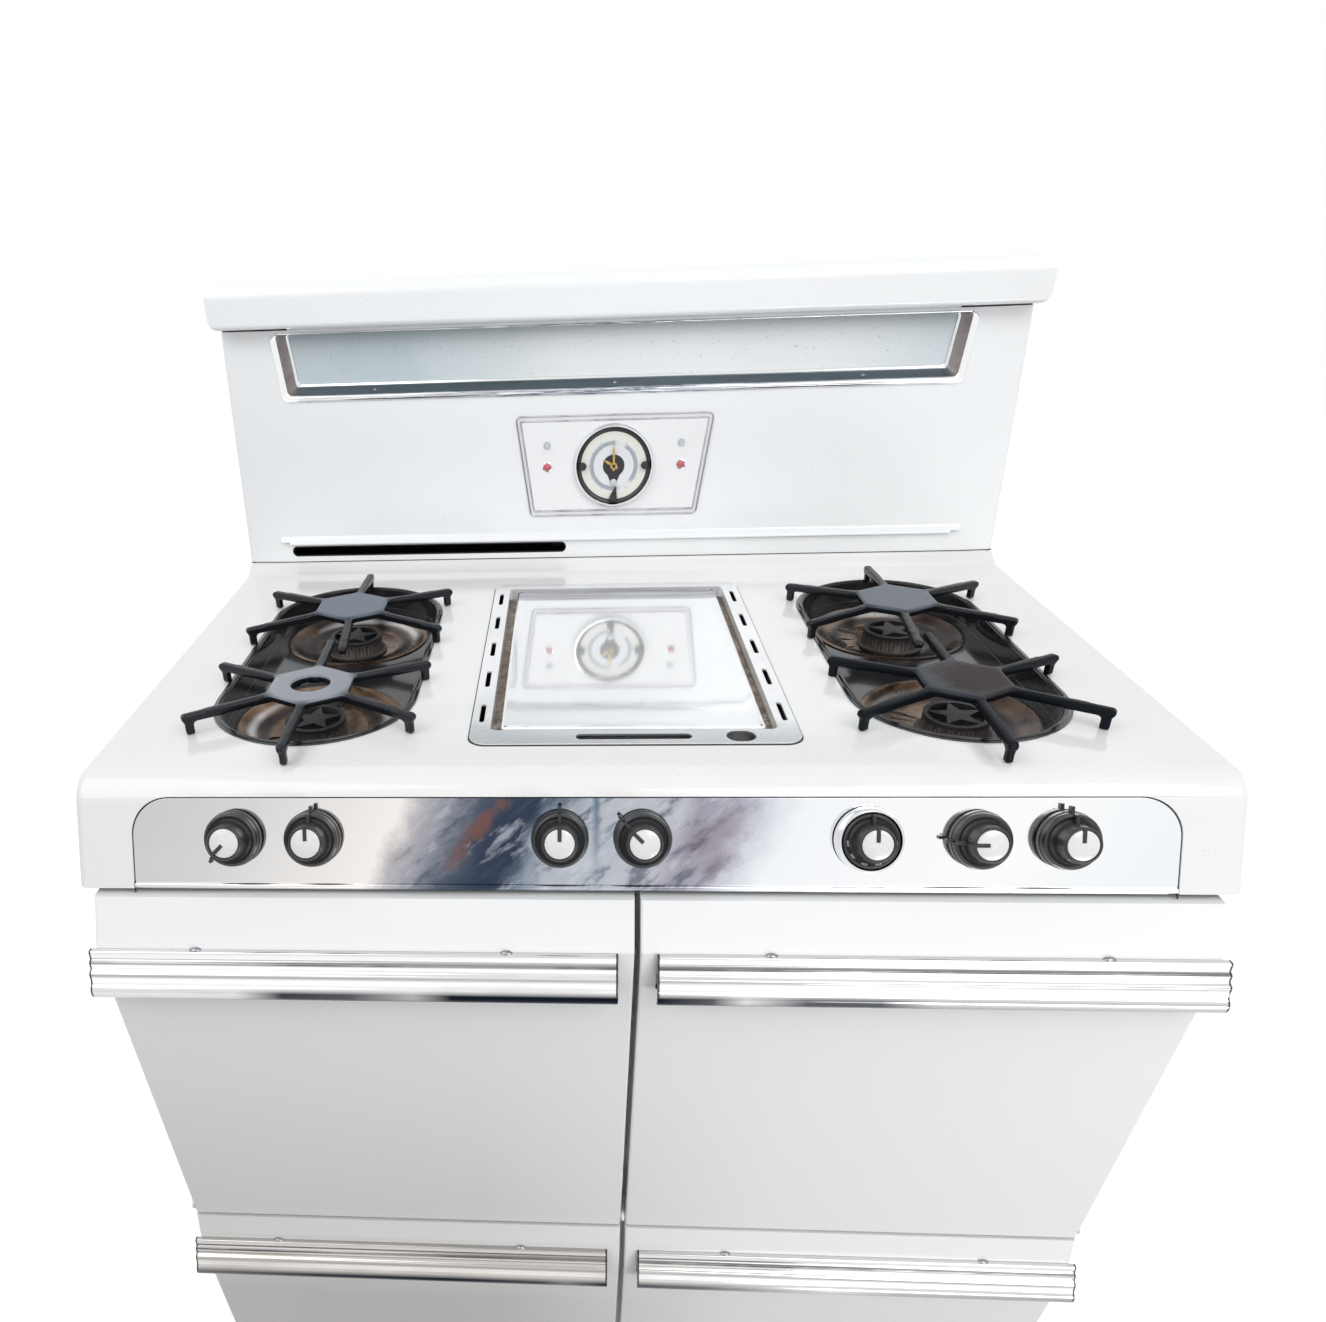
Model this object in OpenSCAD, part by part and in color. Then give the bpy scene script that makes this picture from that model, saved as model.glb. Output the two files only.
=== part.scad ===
// Free-standing gas range with four top burners, a middle griddle, two
// drop-down compartment doors and two pull-out drawers.
// X runs along the width, Y from front to back, Z up. Origin: floor, middle.

/* [Overall] */
// Depth over the upper handles and the rear panel
overall_d = 755; // [735:1:800]
// Width of the cooktop
cook_w = 1010; // [990:1:1060]
// Height of the cooking surface
cook_h = 914; // [880:1:960]
// Set-back of the body's sides under the cooktop's sides
side_inset = 12; // [10:1:20]
// Height of the open plinth space under the body
plinth_h = 92; // [80:1:110]
// Thickness of enamelled sheet
sheet_t = 2.5; // [2:0.1:3]

/* [Cooktop] */
// Set-back of the cooktop's front edge centre line behind the upper handles
nose_setback = 107.5; // [100:0.5:120]
// Radius of the cooktop's front edge
nose_r = 34; // [28:1:36]
// Lean of the front apron and its panel from upright, degrees
apron_lean = 23; // [18:1:26]
// Height of the apron below the cooking surface
apron_h = 92; // [88:1:98]
// Height of the side skirts below the cooking surface
skirt_h = 34; // [26:1:44]
// Rise of the coved rear edge
cove_rise = 10; // [6:1:14]
// Run of the coved rear edge, front to back
cove_run = 34; // [24:1:44]
// Thickness of the backguard at its foot
guard_foot_t = 74; // [68:1:84]

/* [Burners] */
// Distance of each burner bay's middle from the cooktop's side
bay_in = 188; // [180:1:194]
// Distance of the bay middle in front of the origin
bay_y = -8; // [-16:1:0]
// Width of the cut-out for one drip pan
bay_w = 198; // [190:1:206]
// Length of the cut-out for one drip pan
bay_l = 438; // [428:1:446]
// Width of the drip pan's flat rim
pan_rim = 5; // [4:0.5:8]
// Depth of the drip pan
pan_depth = 24; // [18:1:30]
// Distance of the front burners in front of the origin
burner_front_y = -143; // [-148:1:-138]
// Pitch of front and rear burner
burner_pitch = 228; // [220:1:236]
// Radius of a bowl ring
bowl_r = 86; // [80:1:90]
// Depth of a bowl
bowl_depth = 10; // [6:1:12]
// Radius of a burner head
head_r = 31; // [26:1:36]
// Reach of a grate arm from its middle
arm_reach = 130; // [126:1:134]
// Width of a grate arm
arm_w = 9; // [8:0.5:11]
// Height of a grate over the cooktop
grate_h = 25; // [22:1:30]
// Radius of a grate's middle plate
grate_hub_r = 40; // [34:1:46]
// Hole in the ring-shaped grate
grate_hole_r = 20; // [16:1:24]
// Turn of the arms that pass each other between front and rear, degrees
meet_turn = 5; // [4:0.5:6]

/* [Griddle] */
// Width of the griddle frame
griddle_w = 306; // [300:1:316]
// Length of the griddle frame
griddle_l = 449; // [440:1:456]
// Width of the side rims of the griddle frame
rim_side = 19; // [17:1:22]
// Width of the front rim of the griddle frame
rim_front = 28; // [26:1:32]
// Width of the rear rim of the griddle frame
rim_back = 18; // [14:1:22]
// Depth of the griddle well
well_depth = 12; // [10:1:16]
// Gap beside the griddle plate
plate_gap = 10; // [8:0.5:12]
// Thickness of the griddle plate
plate_t = 4; // [3:0.5:6]

/* [Control panel] */
// Set-back of the control panel's ends from the cooktop's sides
panel_in = 53; // [45:1:64]
// Height of the control panel along its slope
panel_h = 83; // [80:1:86]
// Radius of the panel's top corners
panel_corner_r = 34; // [26:1:40]
// Height of the knob centres up the slope
knob_up = 47; // [44:1:50]
// Radius of a knob's skirt
knob_r = 25; // [23:0.5:27]
// Height of a knob
knob_h = 32; // [30:1:34]
// Distance of the outer knobs from the panel's ends
knob_in = 95; // [90:1:102]
// Spacing of the two knobs in a pair
knob_pair = 71.5; // [68:0.5:76]
// Place of the griddle pair's middle
knob_mid_x = -32; // [-40:1:-24]
// Distance of the thermostat knob from the right outer knob
thermo_in = 163; // [155:1:171]
// Radius of a valve stem
stem_r = 4; // [3:0.5:5]

/* [Backguard] */
// Rise of the shelf over the cooking surface
guard_rise = 359; // [340:1:380]
// Height of the shelf
shelf_h = 51; // [46:1:58]
// Overhang of the shelf past the cooktop's sides
shelf_side = 3; // [1:0.5:15]
// Overhang of the shelf in front of the backguard face
shelf_over = 29; // [22:1:36]
// Set-back of the backguard's sides from the cooktop's sides
guard_inset = 2; // [1:0.5:10]
// Lean of the backguard face over its height
guard_lean = 23.5; // [16:0.5:28]
// Distance of the lamp opening's foot corners from the backguard's sides
lamp_in = 79; // [73:1:93]
// Height of the lamp opening's foot over the cooking surface
lamp_z = 226; // [222:1:232]
// Width of the lamp trim's face band
lamp_band = 8; // [6:0.5:10]
// Depth of the lamp recess
lamp_recess = 16; // [12:1:20]
// Height of the clock centre over the cooking surface
clock_z = 130; // [126:1:136]
// Height of the clock plate
clock_plate_h = 128; // [120:1:134]
// Width of the clock plate along its head
clock_plate_w = 256; // [244:1:266]
// Radius of the clock bezel
clock_r = 53; // [48:1:56]
// Height of the vent slot's middle over the cooking surface
vent_z = 25; // [23:1:28]
// Length of the vent slot
vent_l = 377; // [340:1:400]
// Height of the vent slot
vent_h = 12; // [10:1:14]

/* [Doors and drawers] */
// Gap between the left and right doors
door_gap = 5; // [4:0.5:7]
// Height of the seam between doors and drawers over the floor
seam_z = 349; // [340:1:360]
// Gap at the seam
seam_gap = 4; // [3:0.5:5]
// Set-back of a door face's widest line behind the handle front
door_kink_back = 20; // [19:0.5:22]
// Set-back of a door face's foot behind the handle front
door_foot_back = 64; // [60:1:68]
// Set-back of a drawer face's widest line behind the handle front
drawer_kink_back = 58.5; // [56:0.5:62]
// Set-back of a drawer face's foot behind the handle front
drawer_foot_back = 84; // [78:1:88]
// Length by which a handle moulding is shorter than its door
handle_short = 10; // [7:1:27]
// Height of a handle moulding
handle_h = 46; // [42:1:52]
// Radius of a handle moulding's roll
handle_roll_r = 9; // [8:0.5:10]
// Radius of the door hinge pins
hinge_r = 4; // [3:0.5:5]

/* [Compartments] */
// Width of each body half that an oven compartment leaves free
oven_free = 83; // [73:1:103]
// Height of an oven compartment
oven_h = 380; // [360:1:390]
// Depth of an oven compartment
oven_d = 480; // [450:1:500]
// Height of the oven floor over the seam
oven_up = 36; // [34:1:44]
// Set-back of a drawer box's sides from its front's ends
drawer_in = 28.5; // [26:0.5:38]
// Depth of a drawer box, front to back
drawer_d = 500; // [450:1:520]
// Height of a drawer box
drawer_h = 190; // [170:1:196]

/* [Hidden] */

$fn = 64;
eps = 0.01;
big = 2000;
// Running clearance around a turning or sliding pin
run_gap = 0.05;
// Gap between pieces that rest on each other
seat_gap = 0.2;

front_y = -overall_d / 2;
back_y = overall_d / 2;
body_w = cook_w - 2 * side_inset;
guard_w = cook_w - 2 * guard_inset;
shelf_w = cook_w + 2 * shelf_side;
bay_x = cook_w / 2 - bay_in;

// Cooktop
nose_y = front_y + nose_setback;
nose_z = cook_h - nose_r;
apron_bottom_z = cook_h - apron_h;
apron_end = [nose_y - nose_r * cos(apron_lean), nose_z + nose_r * sin(apron_lean)];
apron_foot_y = apron_end.x - (apron_end.y - apron_bottom_z) * tan(apron_lean);
seam_y = back_y - guard_foot_t;
seam_top_z = cook_h + cove_rise;
rear_t = sheet_t;
cook_back_y = back_y - rear_t - 1;
leg_back = 20;
leg_side_y = nose_y + leg_back;
side_edge_r = 9;
panel_w = cook_w - 2 * panel_in;
panel_gap = 0.6;
panel_t = 2;
panel_recess = 1;
panel_foot_r = 8;

// Carcass
frame_setback = 101;
frame_y = front_y + frame_setback;
frame_t = 4;
door_gap_y = 2;
side_x = body_w / 2;
floor_t = 2.5;
plinth_x = side_x - 22;
plinth_y0 = frame_y + 46;
plinth_y1 = back_y - 16;
foot_plate = 60;
foot_h = 12;
foot_r = 19;
foot_stem_l = 22;
foot_stem_r = 6;
door_top_z = apron_bottom_z - 6;
door_foot_z = seam_z + seam_gap / 2;
drawer_top_z = seam_z - seam_gap / 2;
drawer_foot_z = plinth_h;
side_gap = 1;
door_in_x = door_gap / 2;
door_out_x = side_x - sheet_t - side_gap;
door_mid_x = (door_in_x + door_out_x) / 2;
drawer_w = door_out_x - door_in_x - 2 * drawer_in;

// Compartments
oven_shift = 1.5;
oven_x = side_x / 2 - oven_shift;
oven_w = side_x - oven_free;
oven_floor_z = seam_z + oven_up;
oven_top_z = oven_floor_z + oven_h;
liner_t = 2;
oven_front_y = frame_y + frame_t;
rack_ledge_w = 10;
rack_ledge_t = 3;
rack_ledge_in = 12;
rack_up = 110;
rack_wire_r = 3;
rack_rail_r = 4;
pan_up = 215;

// Doors: outlines in side view, as [y, z]
door_back_y = frame_y - door_gap_y;
door_foot_y = front_y + door_foot_back;
door_kink_y = front_y + door_kink_back;
door_top_back = 21;
door_top_y = door_kink_y + door_top_back;
handle_down = 140;
handle_top_z = cook_h - handle_down;
handle_foot_z = handle_top_z - handle_h;
hinge_in = 7.5;
hinge_up = 8;
hinge_y = door_foot_y + hinge_in;
hinge_z = door_foot_z + hinge_up;
hinge_ear_r = 7;
hinge_ear_t = 3;
hinge_pin_l = 13;

drawer_kink_y = front_y + drawer_kink_back;
drawer_foot_y = front_y + drawer_foot_back;
drawer_top_back = 4.5;
drawer_top_y = drawer_kink_y + drawer_top_back;
low_handle_down = 34;
low_handle_top_z = seam_z - low_handle_down;
low_handle_foot_z = low_handle_top_z - handle_h;
drawer_t = 2;
drawer_bottom_z = plinth_h + 18;
drawer_open_gap = 5;
handle_l = door_out_x - door_in_x - handle_short;
handle_step = 5.5;

// Knobs: [x, resting turn seen from the front]
panel_cos = cos(apron_lean);
panel_sin = sin(apron_lean);
knob_y = apron_foot_y + knob_up * panel_sin;
knob_z = apron_bottom_z + knob_up * panel_cos;
knob_out_x = panel_w / 2 - knob_in;
thermo_x = knob_out_x - thermo_in;
KNOBS = [
    [-knob_out_x, 135],
    [-knob_out_x + knob_pair, 0],
    [knob_mid_x - knob_pair / 2, 0],
    [knob_mid_x + knob_pair / 2, 45],
    [thermo_x, 0],
    [knob_out_x - knob_pair, 90],
    [knob_out_x, 0]];
thermo_index = 4;
thermo_extra_r = 3.6;
knob_base = 1.5;
knob_skirt_h = 7;
knob_shoulder_h = 15;
knob_barrel_r = 16.5;
knob_disc_r = 12.5;
knob_disc_deep = 2;
knob_fin_w = 3;
knob_fin_h = 5;
valve_r = 10;
thermo_body_r = 17;
valve_front = panel_recess + panel_t + seat_gap;
manifold_r = 12;
manifold_back = 56;
manifold_y = knob_y + manifold_back * panel_cos;
manifold_z = knob_z - manifold_back * panel_sin;
inlet_x = -(side_x - 24);
inlet_r = 10.65;
inlet_l = 60;
frame_top_z = apron_bottom_z - 4;
bracket_w = 20;
bracket_t = 4;
bracket_down = 28;
bracket_x = [KNOBS[0].x - 40, (KNOBS[1].x + KNOBS[2].x) / 2, (KNOBS[3].x + KNOBS[4].x) / 2,
    KNOBS[6].x + 8];
valve_l = manifold_back - manifold_r - seat_gap;
valve_bore_floor = 12;
stem_l = valve_l - valve_bore_floor - 2;

// Burners
rear_y = burner_front_y + burner_pitch;
pan_floor_z = cook_h - pan_depth;
pan_t = 1.5;
bowl_t = 1.2;
bowl_offset = 15;
bowl_hole_r = head_r + 2;
head_h = 22;
head_rim = 5;
head_well = 5;
mixer_r = 10;
mixer_z = manifold_z + 15;
mixer_front_y = manifold_y + manifold_r + 3;
grate_top_z = cook_h + grate_h;
arm_drop = 7;
arm_h = 13;
foot_l = 5;
foot_gap = 0.3;

griddle_tube_r = 8;
griddle_tube_in = 30;
griddle_tube_x = 60;
oven_tube_r = 7;
oven_tube_in = 60;
hanger_r = 4;

// Griddle
griddle_y = bay_y;
flange_t = 2;
well_t = 2;
ledge_w = 16;
well_w = griddle_w - 2 * rim_side;
well_l = griddle_l - rim_front - rim_back;
well_y = griddle_y + (rim_front - rim_back) / 2;
well_floor_z = cook_h - well_depth;
plate_w = well_w - 2 * plate_gap;
plate_front_gap = 5;
plate_back_gap = 8;
plate_l = well_l - plate_front_gap - plate_back_gap;
plate_y = well_y + (plate_front_gap - plate_back_gap) / 2;
slot_pitch = 82;
slot_n = 5;
slot_l = 40;
slot_w = 5;
// Cuts in the front rim: [x, width, length]
RIM_HOLES = [[0, 11, 107], [98, 21, 27]];

// Backguard
guard_h = guard_rise - shelf_h - cove_rise;
guard_a = atan(guard_lean / guard_h);
guard_top_z = cook_h + guard_rise - shelf_h;
guard_top_y = seam_y + guard_lean;
guard_t = 2.5;
lamp_half = guard_w / 2 - lamp_in;
lamp_top = guard_rise - shelf_h - 8;
shelf_nose_r = 17;
lamp_flare = 0.12;
lamp_tube_r = 13;
lamp_tube_in = 34;
lamp_tube_l = 2 * (lamp_half - lamp_tube_in);
ledge_out = 7;
ledge_h = 12;
ledge_in = 47;
ledge_l = guard_w - 2 * ledge_in;
vent_in = 251;
vent_x = -guard_w / 2 + vent_in;
flue_w = 340;
flue_t = 1.5;
flue_front_y = seam_y + 18;
flue_back_y = flue_front_y + 36;
collect_x = oven_x + 80;
collect_y = oven_front_y + oven_d + liner_t + seat_gap;
collect_down = 125;
collect_h = 65;
collect_z0 = oven_top_z - collect_down;
collect_z1 = collect_z0 + collect_h;
liner_vent_w = 120;
clock_taper = 0.14;
clock_frame_band = 2.5;
clock_frame_gap = 3;
clock_corner_r = 7;
plate_sheet = 1.5;
clock_hole_r = 47;
clock_body_d = 30;
button_x = 87;
button_up = 27;
button_r = 4.2;
jewel_r = 5;
jewel_drop = 3;
arbor_r = 2;
clock_knob_ring = 40.5;
clock_knob_stem_r = 1.5;
hour_hand_l = 16;
minute_hand_l = 30;

// ---------- helpers ----------

function unit(v) = v / norm(v);

// Points of one rounded corner b between its neighbours a and c
function corner(a, b, c, r, n) =
    let (u = unit(a - b), w = unit(c - b))
    let (half = acos(u * w) / 2)
    let (o = b + unit(u + w) * r / sin(half))
    let (p = b + u * r / tan(half) - o, q = b + w * r / tan(half) - o)
    let (a0 = atan2(p.y, p.x), turn = (atan2(q.y, q.x) - a0 + 540) % 360 - 180)
    [for (i = [0:n]) o + r * [cos(a0 + turn * i / n), sin(a0 + turn * i / n)]];

// A polygon's points with every corner rounded
function rounded(pts, r, n = 5) =
    let (m = len(pts))
    [for (i = [0:m - 1]) each corner(pts[(i + m - 1) % m], pts[i], pts[(i + 1) % m], r, n)];

// Backguard face: y of its surface at a height over the cooking surface
function guard_y(up) = seam_y + (up - cove_rise) * tan(guard_a);

// A box from its low and high corners
module block(lo, hi) {
    translate(lo)
        cube(hi - lo);
}

// A flat outline in [y, z] carried along X
module side_extrude(x0, x1) {
    translate([x0, 0, 0])
        rotate([90, 0, 90])
            linear_extrude(x1 - x0)
                children();
}

// Places children on the apron plane: X right, Y up the slope, Z outward
module on_panel(x = 0, up = 0, out = 0) {
    translate([x, apron_foot_y, apron_bottom_z])
        rotate([90 - apron_lean, 0, 0])
            translate([0, up, out])
                children();
}

// Places children on the backguard face: X right, Y up the slope, Z outward
module on_guard(x, up, out = 0) {
    translate([x, guard_y(up), cook_h + up])
        rotate([90 - guard_a, 0, 0])
            translate([0, 0, out])
                children();
}

// Flat stadium, long way along Y
module stadium(w, l) {
    square([w, l - w], center = true);
    for (s = [-1, 1])
        translate([0, s * (l - w) / 2])
            circle(w / 2, $fn = 96);
}

// Flat rectangle with round corners
module round_rect(w, l, r) {
    square([w - 2 * r, l], center = true);
    square([w, l - 2 * r], center = true);
    for (x = [-1, 1], y = [-1, 1])
        translate([x * (w / 2 - r), y * (l / 2 - r)])
            circle(r);
}

// Rod between two points along one axis
module rod_x(x0, x1, y, z, r) {
    translate([x0, y, z])
        rotate([0, 90, 0])
            cylinder(h = x1 - x0, r = r);
}

module rod_y(x, y0, y1, z, r) {
    translate([x, y1, z])
        rotate([90, 0, 0])
            cylinder(h = y1 - y0, r = r);
}

// ---------- cooktop and burners ----------

// Side view of the cooktop moved in by g, open at the rear and the foot when g is set
module cook_outline(g) {
    cut = g > 0 ? 1 : 0;
    foot = apron_bottom_z - cut;
    polygon(concat(
        [[cook_back_y + cut, foot], [cook_back_y + cut, seam_top_z - g]],
        [for (i = [0:5]) [seam_y - 2 - (cove_run - 2) * i / 5,
            cook_h - g + cove_rise * pow(1 - i / 5, 2)]],
        [for (i = [0:8]) let (a = 90 + (90 - apron_lean) * i / 8)
            [nose_y + (nose_r - g) * cos(a), nose_z + (nose_r - g) * sin(a)]],
        [[apron_foot_y + g / panel_cos - cut * tan(apron_lean), foot]]));
}

// The control panel's visible outline, smaller by gap on its free edges
module panel_outline(gap) {
    w = panel_w / 2 - gap;
    h = panel_h - gap;
    r = panel_corner_r;
    f = panel_foot_r;
    translate([-w + f, 0])
        square([2 * w - 2 * f, h - r]);
    translate([-w, f])
        square([2 * w, h - r - f]);
    translate([-w + r, h - r - 1])
        square([2 * w - 2 * r, r + 1]);
    for (s = [-1, 1]) {
        translate([s * (w - r), h - r])
            circle(r);
        translate([s * (w - f), f])
            circle(f);
    }
}

module bay_cut(w, l) {
    for (s = [-1, 1])
        translate([s * bay_x, bay_y, cook_h - sheet_t - 1])
            linear_extrude(sheet_t + 2)
                stadium(w, l);
}

module cooktop() {
    color("white")
        difference() {
            intersection() {
                side_extrude(-cook_w / 2, cook_w / 2)
                    cook_outline(0);
                translate([0, 0, apron_bottom_z])
                    linear_extrude(big)
                        translate([0, (apron_foot_y + cook_back_y) / 2])
                            round_rect(cook_w, cook_back_y - apron_foot_y, side_edge_r);
            }
            side_extrude(-cook_w / 2 + sheet_t, cook_w / 2 - sheet_t)
                cook_outline(sheet_t);
            block([-cook_w, leg_side_y, 0], [cook_w, big, cook_h - skirt_h]);
            bay_cut(bay_w, bay_l);
            translate([0, griddle_y, cook_h - sheet_t - 1])
                linear_extrude(sheet_t + 2)
                    round_rect(griddle_w - 8, griddle_l - 8, 10);
            on_panel(0, 0, -3 * sheet_t)
                linear_extrude(6 * sheet_t)
                    panel_outline(0);
            on_panel(0, -1, -3 * sheet_t)
                linear_extrude(6 * sheet_t)
                    translate([-panel_w / 2, 0])
                        square([panel_w, panel_foot_r + 1]);
            block([vent_x - flue_w / 2 - 1, flue_front_y - 1, cook_h - 10],
                [vent_x + flue_w / 2 + 1, flue_back_y + 1, seam_top_z + 1]);
        }
}

module drip_pan(x) {
    translate([x, bay_y, 0])
        difference() {
            union() {
                translate([0, 0, cook_h])
                    linear_extrude(pan_t)
                        stadium(bay_w + 2 * pan_rim, bay_l + 2 * pan_rim);
                translate([0, 0, pan_floor_z - pan_t])
                    linear_extrude(pan_depth + pan_t + eps)
                        stadium(bay_w - 1, bay_l - 1);
            }
            translate([0, 0, pan_floor_z])
                linear_extrude(pan_depth + pan_t + 1)
                    stadium(bay_w - 1 - 2 * pan_t, bay_l - 1 - 2 * pan_t);
            for (y = [burner_front_y, rear_y])
                translate([0, y + bowl_offset - bay_y, pan_floor_z - pan_t - 1])
                    cylinder(h = pan_t + 2, r = bowl_r - 3);
        }
}

module drip_pans() {
    color("dimgray") {
        drip_pan(-bay_x);
        drip_pan(bay_x);
    }
}

module at_burners() {
    for (x = [-bay_x, bay_x], y = [burner_front_y, rear_y])
        translate([x, y, 0])
            children();
}

module burner_bowls() {
    low = pan_floor_z - bowl_depth;
    color("silver")
        at_burners()
            difference() {
                translate([0, bowl_offset, 0])
                    rotate_extrude($fn = 96)
                        polygon([
                            [0, low - bowl_t], [bowl_r - 22, low - bowl_t],
                            [bowl_r - 4, pan_floor_z - 2 * bowl_t], [bowl_r - 4, pan_floor_z],
                            [bowl_r, pan_floor_z], [bowl_r, pan_floor_z + bowl_t],
                            [bowl_r - 5, pan_floor_z + bowl_t], [bowl_r - 22, low],
                            [0, low]]);
                translate([0, 0, low - bowl_t - 1])
                    cylinder(h = bowl_t + 2, r = bowl_hole_r);
            }
}

module star(r, inner) {
    polygon([for (i = [0:9]) let (a = 90 + 36 * i, q = i % 2 == 0 ? r : inner) [q * cos(a), q * sin(a)]]);
}

// Burner casting: flanged star head, neck and mixer tube to its valve
module burner(x, y, tube_x) {
    seat = pan_floor_z - bowl_depth;
    translate([x, y, seat])
        cylinder(h = 2, r = bowl_hole_r + 3);
    difference() {
        translate([x, y, seat - 2])
            cylinder(h = head_h, r = head_r);
        translate([x, y, seat - 2 + head_h - head_well])
            cylinder(h = head_well + 1, r = head_r - head_rim);
    }
    translate([x, y, seat - 2 + head_h - head_well - eps])
        linear_extrude(head_well)
            star(head_r - head_rim + 1, head_r * 0.36);
    translate([x, y, mixer_z - mixer_r / 2])
        cylinder(h = seat - mixer_z + mixer_r / 2, r = mixer_r + 3);
    rod_x(min(x, tube_x), max(x, tube_x), y, mixer_z, mixer_r - 1);
    rod_y(tube_x, mixer_front_y, y + mixer_r, mixer_z, mixer_r);
}

module burner_heads() {
    color("darkslategray")
        for (s = [0, 1]) {
            mid = s == 0 ? -bay_x : bay_x;
            outer = KNOBS[s == 0 ? 0 : 6].x;
            inner = KNOBS[s == 0 ? 1 : 5].x;
            burner(mid, burner_front_y, inner);
            burner(mid, rear_y, outer);
        }
}

// One grate arm along +X: foot_z is the underside of its foot, or 0 for none
module grate_arm(foot_z) {
    under = grate_top_z - arm_h;
    tip_top = grate_top_z - arm_drop;
    start = grate_hub_r - 12;
    foot = foot_z > 0 ? foot_z : under - 2;
    rotate([90, 0, 0])
        linear_extrude(arm_w, center = true)
            polygon(concat(
                [[start, under], [arm_reach - foot_l - 6, under - 2], [arm_reach - foot_l, foot],
                    [arm_reach - 2, foot]],
                [for (i = [0:4]) let (a = i * 22.5 - 10)
                    [arm_reach - 6 + 6 * cos(a), tip_top - 6 + 6 * sin(a)]],
                [[arm_reach * 0.78, grate_top_z - 1], [start, grate_top_z]]));
}

// A grate: arms is a list of [angle, foot underside], hole is 0 for a solid middle
module grate(x, y, arms, hole) {
    color([0.08, 0.08, 0.09])
        translate([x, y, 0])
            difference() {
                union() {
                    for (a = arms)
                        rotate(a.x)
                            grate_arm(a.y);
                    translate([0, 0, grate_top_z - 8])
                        cylinder(h = 8, r = grate_hub_r - 4);
                }
                if (hole > 0)
                    translate([0, 0, grate_top_z - 9])
                        cylinder(h = 10, r = hole);
            }
}

on_top_z = cook_h + foot_gap;
on_rim_z = cook_h + pan_t + foot_gap;
SIDE_ARMS = [[30, on_top_z], [150, on_top_z], [210, on_top_z], [330, on_top_z]];

module grate_rear(s, hole) {
    grate(s * bay_x, rear_y, concat(SIDE_ARMS, [[90, on_rim_z], [270 - s * meet_turn, 0]]), hole);
}

module grate_front(s, hole) {
    grate(s * bay_x, burner_front_y,
        concat(SIDE_ARMS, [[270, on_top_z], [90 - s * meet_turn / 2, 0]]), hole);
}

module grate_rear_left() { grate_rear(-1, 0); }
module grate_front_left() { grate_front(-1, grate_hole_r); }
module grate_rear_right() { grate_rear(1, 0); }
module grate_front_right() { grate_front(1, 0); }

module griddle_frame() {
    color("silver")
        difference() {
            union() {
                translate([0, griddle_y, cook_h])
                    linear_extrude(flange_t)
                        round_rect(griddle_w, griddle_l, 16);
                translate([0, well_y, well_floor_z - well_t])
                    linear_extrude(well_depth + well_t + eps)
                        round_rect(well_w + 2 * well_t, well_l + 2 * well_t, 8);
            }
            translate([0, well_y, well_floor_z])
                linear_extrude(well_depth + flange_t + 1)
                    round_rect(well_w, well_l, 6);
            translate([0, well_y, well_floor_z - well_t - 1])
                linear_extrude(well_t + 2)
                    round_rect(well_w - 2 * ledge_w, well_l - 2 * ledge_w, 6);
            for (s = [-1, 1], i = [0:slot_n - 1])
                translate([s * (griddle_w - rim_side) / 2, well_y + (i - (slot_n - 1) / 2) * slot_pitch, 0])
                    rim_slot(slot_w, slot_l);
            for (h = RIM_HOLES)
                translate([h.x, griddle_y - griddle_l / 2 + rim_front / 2, 0])
                    rotate(90)
                        rim_slot(h.y, h.z);
        }
}

// A cut through the griddle frame's rim, long way along Y
module rim_slot(w, l) {
    translate([0, 0, cook_h - 1])
        linear_extrude(flange_t + 2)
            stadium(w, l);
}

module griddle_plate() {
    top = cook_h + 1.5;
    seat = well_floor_z + seat_gap;
    color("gainsboro")
        translate([0, plate_y, 0])
            difference() {
                translate([0, 0, seat])
                    linear_extrude(top - seat)
                        round_rect(plate_w, plate_l, 4);
                translate([0, 0, seat - 1])
                    linear_extrude(top - plate_t - seat + 1)
                        round_rect(plate_w - 2 * plate_t, plate_l - 2 * plate_t, 3);
            }
}

// ---------- gas train ----------

module tube_burners() {
    r = griddle_tube_r;
    z = mixer_z + 4;
    y0 = well_y - well_l / 2 + griddle_tube_in;
    y1 = well_y + well_l / 2 - griddle_tube_in;
    x1 = well_w / 2 - ledge_w / 2;
    color("gray") {
        // griddle burner, hung under the well's ledge
        for (i = [2, 3])
            rod_y(KNOBS[i].x, mixer_front_y, y0, z, r);
        for (y = [y0, y1]) {
            rod_x(-x1, x1, y, z, r);
            for (s = [-1, 1])
                translate([s * x1, y, z])
                    cylinder(h = well_floor_z - well_t - seat_gap - z, r = hanger_r);
        }
        for (x = [-griddle_tube_x, griddle_tube_x])
            rod_y(x, y0, y1, z, r);
        // oven burner under the oven floor, broiler burner under the broiler roof
        compartment_burner(oven_x, oven_floor_z - liner_t - seat_gap);
        compartment_burner(-oven_x, oven_top_z - seat_gap);
    }
}

// A tube burner hung from two studs under the surface at hang_z
module compartment_burner(x, hang_z) {
    z = hang_z - 2 * oven_tube_r;
    y0 = oven_front_y + oven_tube_in;
    y1 = oven_front_y + oven_d - oven_tube_in;
    rod_y(x, y0, y1, z, oven_tube_r);
    for (y = [y0 + oven_tube_in / 3, y1 - oven_tube_in / 3])
        translate([x, y, z])
            cylinder(h = hang_z - z, r = hanger_r);
}

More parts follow.
